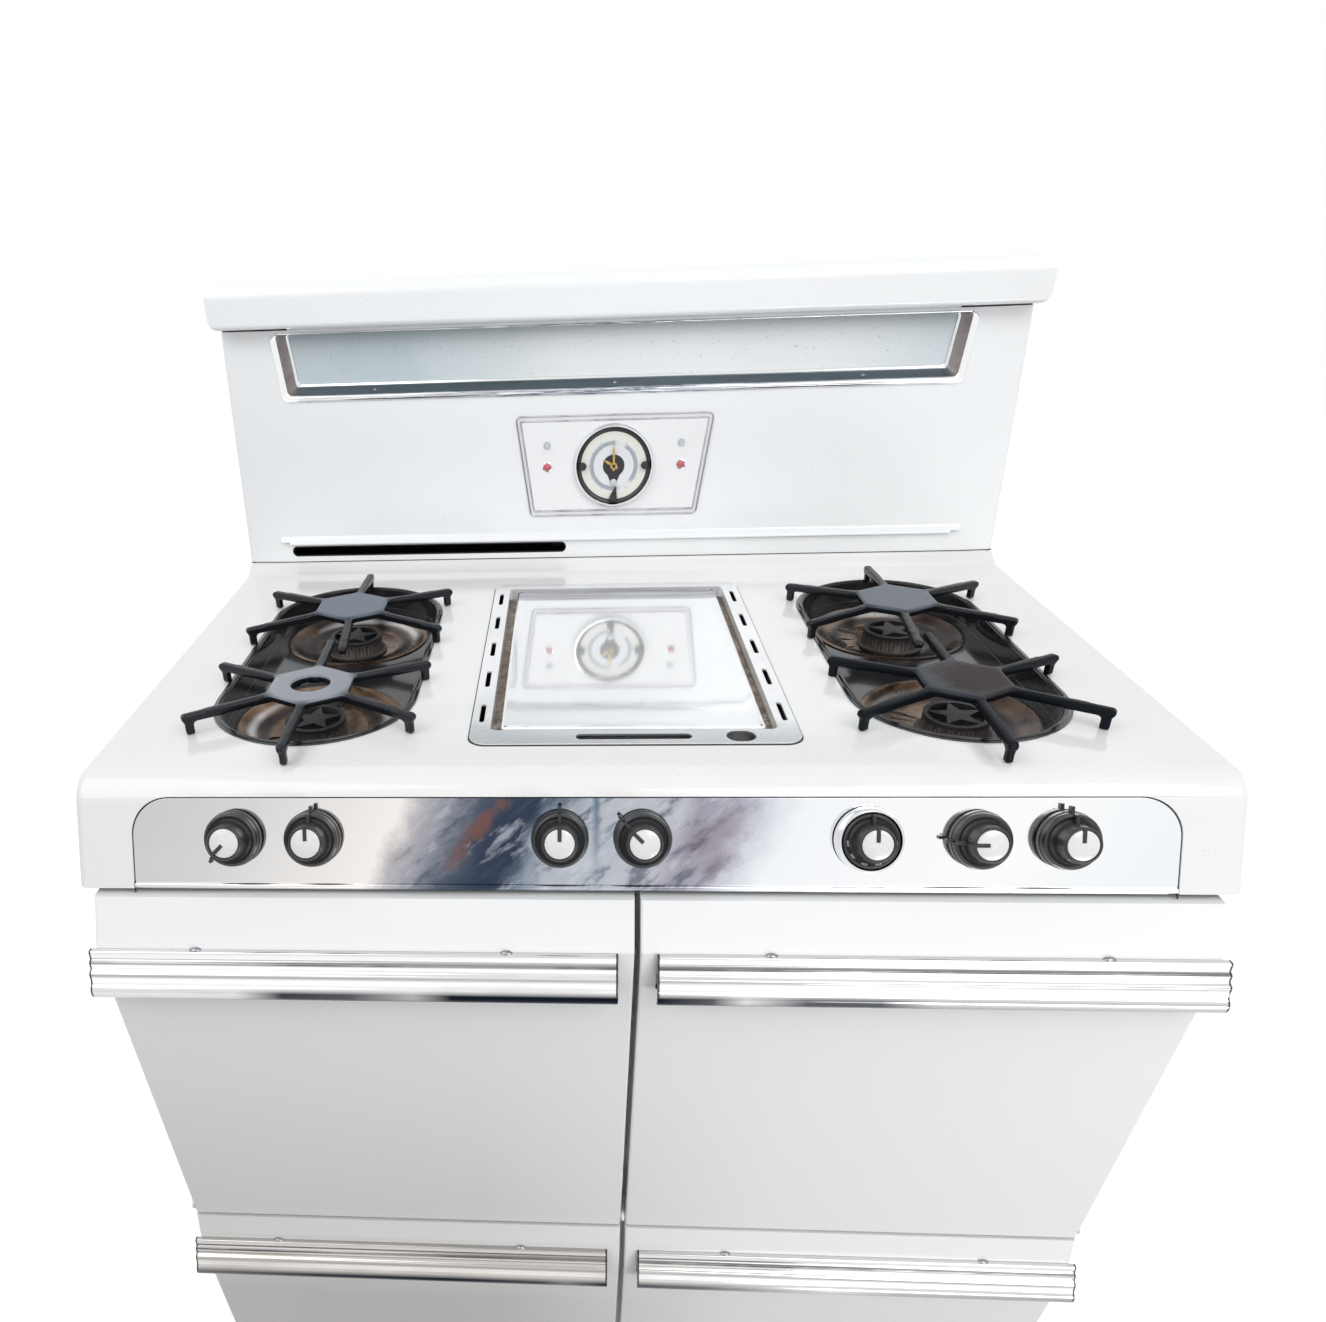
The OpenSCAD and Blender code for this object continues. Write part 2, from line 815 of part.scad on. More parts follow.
module gas_manifold() {
    right = KNOBS[6].x + 20;
    color("gray") {
        rod_x(inlet_x, right, manifold_y, manifold_z, manifold_r);
        translate([inlet_x, manifold_y, manifold_z])
            sphere(manifold_r + 3);
        rod_y(inlet_x, manifold_y, back_y - inlet_l, manifold_z, manifold_r);
        rod_y(inlet_x, back_y - inlet_l - eps, back_y - 2, manifold_z, inlet_r);
        // legs screwed to the back of the front frame
        for (x = bracket_x)
            block([x - bracket_w / 2, oven_front_y + seat_gap, frame_top_z - bracket_down],
                [x + bracket_w / 2, oven_front_y + seat_gap + bracket_t, manifold_z]);
    }
}

module gas_valves() {
    color("goldenrod")
        for (i = [0:6]) {
            r = i == thermo_index ? thermo_body_r : valve_r;
            on_panel(KNOBS[i].x, knob_up, -valve_l)
                difference() {
                    cylinder(h = valve_l - valve_front, r = r);
                    translate([0, 0, valve_bore_floor])
                        cylinder(h = valve_l, r = stem_r + run_gap);
                }
        }
}

module control_panel() {
    color("silver")
        difference() {
            union() {
                on_panel(0, 0, -panel_recess - panel_t)
                    linear_extrude(panel_t)
                        panel_outline(panel_gap);
                on_panel(0, 3, -panel_recess - 1)
                    rod_x(-panel_w / 2 + panel_foot_r, panel_w / 2 - panel_foot_r, 0, 0, 3);
                for (s = [-1, 1])
                    on_panel(s * panel_w / 2, 30, 0)
                        translate([-10, -14, -sheet_t - panel_t - seat_gap / 2])
                            cube([20, 28, panel_t]);
            }
            for (k = KNOBS)
                on_panel(k.x, knob_up, -10)
                    cylinder(h = 20, r = stem_r + 2);
        }
}

// ---------- knobs ----------

// A part of a knob's pointer fin, from radius r0 to r1 and from height z0 to z1
module knob_fin(r0, r1, z0, z1) {
    block([-knob_fin_w / 2, r0, z0], [knob_fin_w / 2, r1, z1]);
}

// A stepped round knob with a pointer fin and tab, its stem running back into the valve
module knob(i) {
    wide = i == thermo_index;
    disc_z = knob_h - knob_disc_deep;
    color([0.06, 0.06, 0.06])
        on_panel(KNOBS[i].x, knob_up)
            rotate(KNOBS[i].y) {
                difference() {
                    union() {
                        translate([0, 0, knob_base])
                            cylinder(h = knob_skirt_h, r = knob_r + (wide ? thermo_extra_r : 0));
                        translate([0, 0, knob_base + 1])
                            cylinder(h = knob_shoulder_h - knob_base - 1, r = knob_r - 1);
                        translate([0, 0, knob_base + 2])
                            cylinder(h = knob_h - knob_base - 2, r = knob_barrel_r);
                    }
                    translate([0, 0, disc_z])
                        cylinder(h = knob_disc_deep + 1, r = knob_disc_r);
                }
                knob_fin(4, knob_barrel_r - 1, disc_z - 1, knob_h + 1);
                knob_fin(knob_barrel_r - 4, knob_r - 2, knob_shoulder_h - 3, knob_shoulder_h + knob_fin_h);
                if (!wide)
                    knob_fin(knob_r - 6, knob_r + 4.5, knob_base + 3.5, knob_base + 9.5);
                translate([0, 0, -stem_l])
                    cylinder(h = stem_l + knob_base + 1, r = stem_r);
            }
}

module knob_1() { knob(0); }
module knob_2() { knob(1); }
module knob_3() { knob(2); }
module knob_4() { knob(3); }
module knob_thermostat() { knob(4); }
module knob_6() { knob(5); }
module knob_7() { knob(6); }

// ---------- backguard ----------

// Side view of the backguard moved in by g, open at the rear when g is set
module guard_outline(g) {
    cut = g > 0 ? rear_t + g : 0;
    lean = g * tan(guard_a);
    polygon([
        [seam_y + g / cos(guard_a) + lean, seam_top_z + g],
        [back_y - rear_t + cut, seam_top_z + g],
        [back_y - rear_t + cut, guard_top_z - g],
        [guard_top_y + g / cos(guard_a) - lean, guard_top_z - g]]);
}

// Lamp opening on the face, larger by grow; the origin is the cooking surface's level
module lamp_outline(grow, top_grow = 0) {
    h = (lamp_top - lamp_z) / cos(guard_a);
    half = lamp_half + grow;
    polygon(rounded([
        [-half, -grow],
        [half, -grow],
        [half + lamp_flare * h, h + top_grow],
        [-half - lamp_flare * h, h + top_grow]], 6 + max(grow, 0) / 2));
}

// Clock panel outline on the face, centred on the clock, moved in by inset
module clock_outline(inset) {
    h = clock_plate_h / 2 - inset;
    half = clock_plate_w / 2 - inset;
    polygon(rounded([
        [-half + clock_taper * 2 * h, -h],
        [half - clock_taper * 2 * h, -h],
        [half, h],
        [-half, h]], max(clock_corner_r - inset, 1.5)));
}

module backguard_shell() {
    w = guard_w / 2;
    color("white")
        difference() {
            union() {
                side_extrude(-w, w)
                    guard_outline(0);
                on_guard(0, vent_z + vent_h / 2 + 4)
                    side_extrude(-ledge_l / 2, ledge_l / 2)
                        polygon([[-1, -1], [0, ledge_out], [ledge_h / 4, ledge_out], [ledge_h, -1]]);
            }
            side_extrude(-w + guard_t, w - guard_t)
                guard_outline(guard_t);
            on_guard(0, lamp_z, -3 * guard_t)
                linear_extrude(6 * guard_t)
                    lamp_outline(seat_gap);
            on_guard(vent_x, vent_z, -3 * guard_t)
                linear_extrude(4 * guard_t)
                    rotate(90)
                        stadium(vent_h, vent_l);
            on_guard(0, clock_z, -3 * guard_t) {
                cylinder(h = 6 * guard_t, r = clock_hole_r + seat_gap);
                for (s = [-1, 1]) {
                    translate([s * button_x, button_up, 0])
                        cylinder(h = 6 * guard_t, r = button_r + 1);
                    translate([s * button_x, 0, 0])
                        cylinder(h = 6 * guard_t, r = jewel_r + run_gap);
                }
            }
            block([vent_x - flue_w / 2 - 1, flue_front_y - 1, cook_h],
                [vent_x + flue_w / 2 + 1, flue_back_y + 1, seam_top_z + guard_t + 1]);
        }
}

// Shelf: a folded cap, open underneath where the backguard closes it
module top_shelf() {
    front = guard_top_y - shelf_over;
    w = shelf_w / 2 - 12;
    color("white")
        difference() {
            intersection() {
                shelf_body();
                translate([0, (front + back_y) / 2, guard_top_z - 1])
                    linear_extrude(shelf_h + 2)
                        round_rect(shelf_w, back_y - front, 14);
            }
            block([-w, guard_top_y + 3, guard_top_z - 1],
                [w, back_y - rear_t - 1, cook_h + guard_rise - guard_t]);
            block([-w, front + 8, guard_top_z + guard_t],
                [w, guard_top_y + 4, cook_h + guard_rise - shelf_nose_r]);
        }
}

// Shelf block with a round front top edge and round upper ends
module shelf_body() {
    r = shelf_nose_r;
    front = guard_top_y - shelf_over;
    top = cook_h + guard_rise;
    intersection() {
        side_extrude(-shelf_w / 2, shelf_w / 2)
            polygon(concat(
                [[front + 5, guard_top_z], [back_y, guard_top_z], [back_y, top]],
                [for (i = [0:8]) let (a = 90 + i * 90 / 8)
                    [front + r + r * cos(a), top - r + r * sin(a)]],
                [[front, guard_top_z + 5]]));
        translate([0, back_y + 1, 0])
            rotate([90, 0, 0])
                linear_extrude(big)
                    translate([0, guard_top_z + shelf_h / 2])
                        round_rect(shelf_w, shelf_h, 12);
    }
}

module lamp_trim() {
    wall = 1.5;
    color("silver")
        on_guard(0, lamp_z)
            difference() {
                union() {
                    translate([0, 0, -lamp_recess])
                        linear_extrude(lamp_recess + 0.5)
                            lamp_outline(0);
                    linear_extrude(2)
                        lamp_outline(lamp_band);
                }
                translate([0, 0, -lamp_recess + wall])
                    linear_extrude(lamp_recess + 3)
                        lamp_outline(-wall);
                translate([0, 0, -lamp_recess - 1])
                    linear_extrude(wall + 2)
                        lamp_outline(-14);
            }
}

module lamp_glass() {
    color("lightsteelblue")
        on_guard(0, lamp_z, -lamp_recess - seat_gap - 3)
            linear_extrude(3)
                lamp_outline(-6);
}

module lamp_tube() {
    y = back_y - rear_t - lamp_tube_r - 3;
    z = cook_h + (lamp_z + lamp_top) / 2;
    color("ghostwhite")
        rod_x(-lamp_tube_l / 2, lamp_tube_l / 2, y, z, lamp_tube_r);
    color("ghostwhite")
        for (s = [-1, 1])
            block([s * lamp_tube_l / 2 + (s > 0 ? seat_gap : -10 - seat_gap), y - 6, z - 14],
                [s * lamp_tube_l / 2 + (s > 0 ? 10 + seat_gap : -seat_gap),
                    back_y - rear_t - seat_gap, z + 14]);
}

module clock_plate() {
    inset = 2 * clock_frame_band + clock_frame_gap + 0.1;
    color("whitesmoke")
        on_guard(0, clock_z)
            linear_extrude(plate_sheet)
                difference() {
                    clock_outline(inset);
                    circle(clock_hole_r + seat_gap);
                    for (s = [-1, 1]) {
                        translate([s * button_x, button_up])
                            circle(button_r + run_gap);
                        translate([s * button_x, 0])
                            circle(jewel_r + run_gap);
                    }
                }
}

// Double chrome frame and the round bezel
module clock_trim() {
    b = clock_frame_band;
    g = clock_frame_gap;
    color("silver")
        on_guard(0, clock_z) {
            linear_extrude(3)
                difference() {
                    clock_outline(0);
                    clock_outline(b);
                }
            linear_extrude(2.5)
                difference() {
                    clock_outline(b + g);
                    clock_outline(2 * b + g);
                }
            translate([0, 0, plate_sheet])
                difference() {
                    cylinder(h = 8, r = clock_r);
                    translate([0, 0, -1])
                        cylinder(h = 10, r = clock_hole_r + seat_gap);
                }
        }
}

CLOCK_KNOBS = [[-clock_knob_ring, 0], [clock_knob_ring, 0], [0, -clock_knob_ring]];

module clock_dial() {
    color("ivory")
        on_guard(0, clock_z, 1)
            difference() {
                cylinder(h = 2, r = clock_hole_r);
                translate([0, 0, -1])
                    cylinder(h = 4, r = arbor_r + 2);
                for (k = CLOCK_KNOBS)
                    translate([k.x, k.y, -1])
                        cylinder(h = 4, r = clock_knob_stem_r + 0.5);
            }
}

module clock_motor() {
    color("dimgray")
        on_guard(0, clock_z, -clock_body_d) {
            difference() {
                cylinder(h = clock_body_d + 1, r = clock_hole_r);
                for (k = CLOCK_KNOBS)
                    translate([k.x, k.y, clock_body_d - 12])
                        cylinder(h = 14, r = clock_knob_stem_r + run_gap);
            }
            cylinder(h = clock_body_d + 11, r = arbor_r);
        }
}

// A clock hand on the arbor, turned to the left of upright by turn degrees
module clock_hand(out, length, w, turn) {
    color("goldenrod")
        on_guard(0, clock_z, out)
            rotate(turn)
                linear_extrude(1)
                    difference() {
                        union() {
                            circle(arbor_r + 2.5);
                            polygon([[-w / 2, -6], [w / 2, -6], [w * 0.6, length * 0.55], [0, length],
                                [-w * 0.6, length * 0.55]]);
                        }
                        circle(arbor_r + run_gap);
                    }
}

module hour_hand() { clock_hand(5, hour_hand_l, 3, 60); }
module minute_hand() { clock_hand(7, minute_hand_l, 2.4, 0); }

module clock_knob(k) {
    color([0.1, 0.1, 0.1])
        on_guard(0, clock_z) {
            translate([k.x, k.y, 3.4])
                cylinder(h = 7, r = 5);
            translate([k.x, k.y, -9])
                cylinder(h = 13, r = clock_knob_stem_r);
        }
}

module clock_knob_start() { clock_knob(CLOCK_KNOBS[0]); }
module clock_knob_stop() { clock_knob(CLOCK_KNOBS[1]); }
module clock_knob_timer() { clock_knob(CLOCK_KNOBS[2]); }

module pilot_jewels() {
    color("crimson")
        on_guard(0, clock_z, -6)
            for (s = [-1, 1])
                translate([s * button_x, 0, 0]) {
                    cylinder(h = 9, r = jewel_r);
                    translate([0, 0, 9])
                        intersection() {
                            translate([0, 0, -jewel_drop])
                                sphere(r = norm([jewel_r, jewel_drop]));
                            cylinder(h = 10, r = jewel_r);
                        }
                }
}

module switch_button(s) {
    color("lightgray")
        on_guard(s * button_x, clock_z + button_up * cos(guard_a), -10) {
            cylinder(h = 15, r = button_r);
            cylinder(h = 3, r = button_r + 2);
        }
}

module switch_button_left() { switch_button(-1); }
module switch_button_right() { switch_button(1); }

// Flue: a collector across both compartments, a flat duct and a slot box
module oven_flue() {
    slot_y = seam_y + guard_t + 4;
    slot_x = vent_l / 2 + 8;
    slot_z = seam_top_z + guard_t + 1.5;
    top_z = cook_h + vent_z + 24;
    duct_x = flue_w / 2;
    color([0.1, 0.1, 0.1])
        difference() {
            union() {
                block([vent_x - duct_x, flue_front_y, collect_z0], [vent_x + duct_x, flue_back_y, top_z]);
                block([vent_x - slot_x, slot_y, slot_z], [vent_x + slot_x, flue_back_y, top_z]);
                block([-collect_x, collect_y, collect_z0], [collect_x, flue_back_y, collect_z1]);
            }
            block([vent_x - duct_x + flue_t, flue_front_y + flue_t, collect_z0 + flue_t],
                [vent_x + duct_x - flue_t, flue_back_y - flue_t, top_z - flue_t]);
            block([vent_x - slot_x + flue_t, slot_y - 1, slot_z + flue_t],
                [vent_x + slot_x - flue_t, flue_back_y - flue_t, top_z - flue_t]);
            block([-collect_x + flue_t, collect_y + flue_t, collect_z0 + flue_t],
                [collect_x - flue_t, flue_back_y - flue_t, collect_z1 - flue_t]);
            block([vent_x - duct_x + flue_t, flue_front_y + flue_t, collect_z1 - 2 * flue_t],
                [vent_x + duct_x - flue_t, flue_back_y - flue_t, collect_z1 + flue_t]);
            for (s = [-1, 1])
                liner_vent(s * oven_x, flue_t);
        }
}

// The vent window in a compartment's rear wall, narrower by grow on each side
module liner_vent(x, grow) {
    w = liner_vent_w / 2 - grow;
    block([x - w, oven_front_y + oven_d - 1, collect_z0 + 3 * flue_t],
        [x + w, collect_y + 2 * flue_t, collect_z1 - 3 * flue_t]);
}

// ---------- carcass ----------

module base_frame() {
    x = plinth_x;
    y0 = plinth_y0;
    y1 = plinth_y1;
    foot = foot_h;
    color([0.12, 0.12, 0.13])
        difference() {
            union() {
                block([-side_x, frame_y, plinth_h - floor_t], [side_x, back_y - rear_t, plinth_h]);
                block([-x, y0, foot], [x, y1, plinth_h - eps]);
            }
            block([-x + floor_t, y0 + floor_t, foot + floor_t],
                [x - floor_t, y1 - floor_t, plinth_h - floor_t]);
            block([-x + foot_plate, y0 - 1, foot - 1], [x - foot_plate, y1 + 1, foot + floor_t + 1]);
            block([-x - 1, y0 + foot_plate, foot - 1], [x + 1, y1 - foot_plate, foot + floor_t + 1]);
            at_feet()
                cylinder(h = foot_stem_l + foot_h, r = foot_stem_r + seat_gap);
        }
}

module at_feet() {
    x = plinth_x - foot_plate / 2;
    for (sx = [-x, x], y = [plinth_y0 + foot_plate / 2, plinth_y1 - foot_plate / 2])
        translate([sx, y, 0])
            children();
}

module levelling_feet() {
    color("gray")
        at_feet() {
            cylinder(h = foot_h - seat_gap, r = foot_r);
            translate([0, 0, foot_h - seat_gap - eps])
                cylinder(h = foot_stem_l, r = foot_stem_r);
        }
}

module side_panels() {
    color("white")
        for (s = [0, 1]) {
            x0 = s == 0 ? -side_x : side_x - sheet_t;
            side_extrude(x0, x0 + sheet_t)
                polygon([
                    [frame_y, plinth_h], [back_y - rear_t - seat_gap, plinth_h],
                    [back_y - rear_t - seat_gap, cook_h - sheet_t - seat_gap],
                    [nose_y + 4, cook_h - sheet_t - seat_gap], [frame_y, cook_h - 16]]);
            hinge_ear(x0, x0 + sheet_t);
            rod_x(x0 - (s == 0 ? 0 : hinge_pin_l), x0 + sheet_t + (s == 0 ? hinge_pin_l : 0),
                hinge_y, hinge_z, hinge_r);
        }
}

// An ear that carries a door hinge pin in front of the carcass
module hinge_ear(x0, x1) {
    rod_x(x0, x1, hinge_y, hinge_z, hinge_ear_r);
    block([x0, hinge_y, hinge_z - hinge_ear_r], [x1, frame_y + 1, hinge_z + hinge_ear_r]);
}

module back_panel() {
    w = guard_w / 2;
    color("gainsboro")
        difference() {
            union() {
                block([-side_x, back_y - rear_t, plinth_h], [side_x, back_y, cook_h + 8]);
                block([-w, back_y - rear_t, cook_h + 8 - eps], [w, back_y, guard_top_z - seat_gap]);
            }
            rod_y(inlet_x, back_y - 2 * rear_t, back_y + rear_t, manifold_z, inlet_r + 6);
        }
}

module centre_partition() {
    t = 2;
    color("lightgray")
        difference() {
            block([-t / 2, oven_front_y + seat_gap, plinth_h],
                [t / 2, back_y - rear_t - seat_gap, oven_top_z + 20]);
            block([-t, collect_y - side_gap, collect_z0 - side_gap],
                [t, flue_back_y + side_gap, collect_z1 + side_gap]);
        }
}

module front_frame() {
    color("white")
        difference() {
            union() {
                block([-side_x + sheet_t + seat_gap, frame_y, plinth_h],
                    [side_x - sheet_t - seat_gap, frame_y + frame_t, frame_top_z]);
                hinge_ear(-hinge_ear_t / 2, hinge_ear_t / 2);
                rod_x(-hinge_pin_l, hinge_pin_l, hinge_y, hinge_z, hinge_r);
            }
            for (s = [-1, 1]) {
                frame_window(s * oven_x, oven_w, oven_floor_z, oven_top_z);
                frame_window(s * door_mid_x, drawer_w + 2 * drawer_t + 2 * drawer_open_gap,
                    drawer_bottom_z - drawer_open_gap, drawer_bottom_z + drawer_h + drawer_open_gap);
            }
        }
}

module frame_window(x, w, z0, z1) {
    block([x - w / 2, frame_y - 1, z0], [x + w / 2, frame_y + frame_t + 1, z1]);
}

// Enamelled compartment box with one pair of rack ledges
module liner(x, ledge_up) {
    w = oven_w / 2;
    y0 = oven_front_y + seat_gap / 2;
    difference() {
        block([x - w - liner_t, y0, oven_floor_z - liner_t],
            [x + w + liner_t, oven_front_y + oven_d + liner_t, oven_top_z + liner_t]);
        block([x - w, y0 - 1, oven_floor_z], [x + w, oven_front_y + oven_d, oven_top_z]);
        liner_vent(x, 0);
    }
    for (s = [-1, 1])
        block([x + s * w - (s > 0 ? rack_ledge_w : 0), y0 + rack_ledge_in, oven_floor_z + ledge_up - rack_ledge_t],
            [x + s * w + (s > 0 ? 0 : rack_ledge_w), oven_front_y + oven_d, oven_floor_z + ledge_up]);
}

module oven_liner() {
    color("midnightblue")
        liner(oven_x, rack_up);
}

module broiler_liner() {
    color("midnightblue")
        liner(-oven_x, pan_up);
}

// Wire shelf: two side rails on the ledges, cross wires and length wires
module oven_rack() {
    z = oven_floor_z + rack_up + seat_gap + rack_rail_r;
    x1 = oven_w / 2 - rack_rail_r - 1.5;
    y0 = oven_front_y + 12;
    y1 = oven_front_y + oven_d - 14;
    color("silver") {
        for (s = [-1, 1])
            rod_y(oven_x + s * x1, y0, y1, z, rack_rail_r);
        for (y = [y0 + 4, y1 - 4])
            rod_x(oven_x - x1, oven_x + x1, y, z, rack_wire_r);
        for (i = [1:14])
            rod_y(oven_x - x1 + i * 2 * x1 / 15, y0 + 4, y1 - 4, z + 1, 1.5);
    }
}

module broiler_pan() {
    t = 2;
    flange = 3;
    rim = 6;
    deep = 34;
    z = oven_floor_z + pan_up + seat_gap;
    w = oven_w / 2 - 3;
    in = oven_w / 2 - rack_ledge_w - 4;
    y0 = oven_front_y + rack_ledge_in + t;
    y1 = oven_front_y + oven_d - 60;
    color("darkslategray")
        difference() {
            union() {
                block([-oven_x - w, y0, z], [-oven_x + w, y1, z + flange]);
                block([-oven_x - in, y0 + rim, z - deep], [-oven_x + in, y1 - rim, z + eps]);
            }
            block([-oven_x - in + t, y0 + rim + t, z - deep + t],
                [-oven_x + in - t, y1 - rim - t, z + flange + 1]);
        }
}

module drawer_runners() {
    color("gray")
        for (s = [-1, 1], e = [-1, 1]) {
            x = s * door_mid_x + e * (drawer_w / 2 - 8);
            block([x - 7, oven_front_y + seat_gap, plinth_h],
                [x + 7, back_y - rear_t - seat_gap, drawer_bottom_z - seat_gap]);
        }
}

// ---------- doors and drawers ----------

module door_outline(g) {
    cut = g > 0 ? 1 : 0;
    polygon([
        [door_back_y + cut, door_foot_z + g], [door_foot_y + g, door_foot_z + g],
        [door_kink_y + g + 3, handle_foot_z], [door_kink_y + g, handle_top_z],
        [door_top_y + g, door_top_z - g], [door_back_y + cut, door_top_z - g]]);
}

module door_skin(s) {
    x0 = s > 0 ? door_in_x : -door_out_x;
    x1 = s > 0 ? door_out_x : -door_in_x;
    color("white")
        difference() {
            side_extrude(x0, x1)
                door_outline(0);
            side_extrude(x0 + sheet_t, x1 - sheet_t)
                door_outline(sheet_t);
            rod_x(x0 - 1, x1 + 1, hinge_y, hinge_z, hinge_r + run_gap);
        }
}

// Inner door pan: a closing plate with a plug that enters the compartment
module door_inner(s) {
    x0 = s > 0 ? door_in_x : -door_out_x;
    x1 = s > 0 ? door_out_x : -door_in_x;
    t = 2;
    y1 = door_back_y + 1.5;
    plug = 14;
    gap = 5;
    w = oven_w / 2 - gap;
    color("gainsboro")
        difference() {
            union() {
                block([x0 + 1, door_back_y, hinge_z + 1], [x1 - 1, y1, door_top_z - 1]);
                block([s * oven_x - w, door_back_y, oven_floor_z + gap],
                    [s * oven_x + w, y1 + plug, oven_top_z - gap]);
            }
            block([s * oven_x - w + t, door_back_y - 1, oven_floor_z + gap + t],
                [s * oven_x + w - t, y1 + plug - t, oven_top_z - gap - t]);
        }
}

module door_left_skin() { door_skin(-1); }
module door_right_skin() { door_skin(1); }
module door_left_inner() { door_inner(-1); }
module door_right_inner() { door_inner(1); }

// Side view of a handle moulding: three steps down to a roll, with a finger
// pull behind the roll. Origin: the top of the moulding on the door face.
module handle_outline(lean_y) {
    s = handle_step;
    out = door_kink_back - seat_gap;
    roll_z = -handle_h + handle_roll_r;
    lip = out - 7;
    difference() {
        union() {
            polygon([
                [lean_y * (handle_h - 4) / handle_h, -handle_h + 4], [0, 0], [-s * 0.6, 0], [-s, -3], [-s, -9],
                [-s * 1.7, -11], [-s * 1.7, -17], [-s * 2.6, -19], [-s * 2.6, roll_z],
                [-3, -handle_h + 4]]);
            translate([-out + handle_roll_r, roll_z])
                circle(handle_roll_r);
        }
        polygon([
            [lean_y + 3, -handle_h - 1], [lean_y - 1, -handle_h + 4], [-2.5, -17], [-s * 1.6, -19],
            [-lip, -25], [-lip, -handle_h - 1]]);
    }
}

module handle(s, y, z, lean_y) {
    out = door_out_x + 4.5;
    x0 = s > 0 ? out - handle_l : -out;
    color("silver")
        translate([0, y, z])
            side_extrude(x0, x0 + handle_l)
                handle_outline(lean_y);
}

module handle_upper_left() { handle(-1, door_kink_y - seat_gap, handle_top_z, 3); }
module handle_upper_right() { handle(1, door_kink_y - seat_gap, handle_top_z, 3); }
module handle_lower_left() { handle(-1, drawer_kink_y - seat_gap, low_handle_top_z, 2); }
module handle_lower_right() { handle(1, drawer_kink_y - seat_gap, low_handle_top_z, 2); }

module drawer_outline(g) {
    cut = g > 0 ? 1 : 0;
    polygon([
        [door_back_y + cut, drawer_foot_z + g], [drawer_foot_y + g, drawer_foot_z + g],
        [drawer_kink_y + g + 2, low_handle_foot_z], [drawer_kink_y + g, low_handle_top_z],
        [drawer_top_y + g, drawer_top_z - g], [door_back_y + cut, drawer_top_z - g]]);
}

// Drawer: hollow front, closing plate and box in one welded piece
module drawer(s) {
    x0 = s > 0 ? door_in_x : -door_out_x;
    x1 = s > 0 ? door_out_x : -door_in_x;
    x = s * door_mid_x;
    w = drawer_w / 2;
    t = drawer_t;
    z0 = drawer_bottom_z;
    z1 = z0 + drawer_h;
    y1 = door_back_y + drawer_d;
    color("white")
        difference() {
            union() {
                side_extrude(x0, x1)
                    drawer_outline(0);
                block([x - w - t, door_back_y - eps, z0], [x + w + t, y1 + t, z1]);
            }
            side_extrude(x0 + sheet_t, x1 - sheet_t)
                intersection() {
                    drawer_outline(sheet_t);
                    translate([-big, 0])
                        square([big + door_back_y - t, big]);
                }
            block([x - w, door_back_y, z0 + t], [x + w, y1, z1 + 1]);
            for (e = [-1, 1])
                rod_y(x + e * w * 0.8, door_back_y - t - 1, door_back_y + 1, z0 + drawer_h / 2, 6);
        }
}

module drawer_left() { drawer(-1); }
module drawer_right() { drawer(1); }

base_frame();
levelling_feet();
side_panels();
back_panel();
centre_partition();
front_frame();
cooktop();
drip_pans();
burner_bowls();
burner_heads();
griddle_frame();
griddle_plate();
tube_burners();
control_panel();
gas_manifold();
gas_valves();
backguard_shell();
top_shelf();
lamp_trim();
lamp_glass();
lamp_tube();
clock_plate();
clock_trim();
clock_dial();
clock_motor();
hour_hand();
minute_hand();
clock_knob_start();
clock_knob_stop();
clock_knob_timer();
pilot_jewels();
switch_button_left();
switch_button_right();
oven_flue();
oven_liner();
broiler_liner();
oven_rack();
broiler_pan();
drawer_runners();
door_left_skin();
door_left_inner();
handle_upper_left();
door_right_skin();
door_right_inner();
handle_upper_right();
drawer_left();
handle_lower_left();
drawer_right();
handle_lower_right();
grate_rear_left();
grate_front_left();
grate_rear_right();
grate_front_right();
knob_1();
knob_2();
knob_3();
knob_4();
knob_thermostat();
knob_6();
knob_7();
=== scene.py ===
"""Looks of a free-standing white gas range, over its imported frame.

Lengths are metres. X runs to the right seen from the front, Y to the back and Z up.
"""

import math

import bpy
from mathutils import Matrix, Vector


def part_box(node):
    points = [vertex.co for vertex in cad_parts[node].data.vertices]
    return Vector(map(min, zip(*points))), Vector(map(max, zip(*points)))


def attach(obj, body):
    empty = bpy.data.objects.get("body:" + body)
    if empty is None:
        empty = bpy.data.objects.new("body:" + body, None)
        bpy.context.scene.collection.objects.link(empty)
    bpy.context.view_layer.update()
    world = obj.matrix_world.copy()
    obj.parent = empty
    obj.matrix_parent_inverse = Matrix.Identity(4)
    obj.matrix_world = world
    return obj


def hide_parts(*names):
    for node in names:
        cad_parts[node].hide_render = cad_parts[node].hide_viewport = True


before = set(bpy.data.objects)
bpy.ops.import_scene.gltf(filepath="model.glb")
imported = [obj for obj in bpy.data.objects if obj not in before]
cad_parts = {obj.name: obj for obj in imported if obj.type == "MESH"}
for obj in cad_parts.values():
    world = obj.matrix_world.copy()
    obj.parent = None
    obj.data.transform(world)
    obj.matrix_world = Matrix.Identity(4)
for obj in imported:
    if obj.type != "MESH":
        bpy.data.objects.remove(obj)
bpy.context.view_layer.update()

MM = 0.001

# ---------- sizes, as the part's source gives them ----------

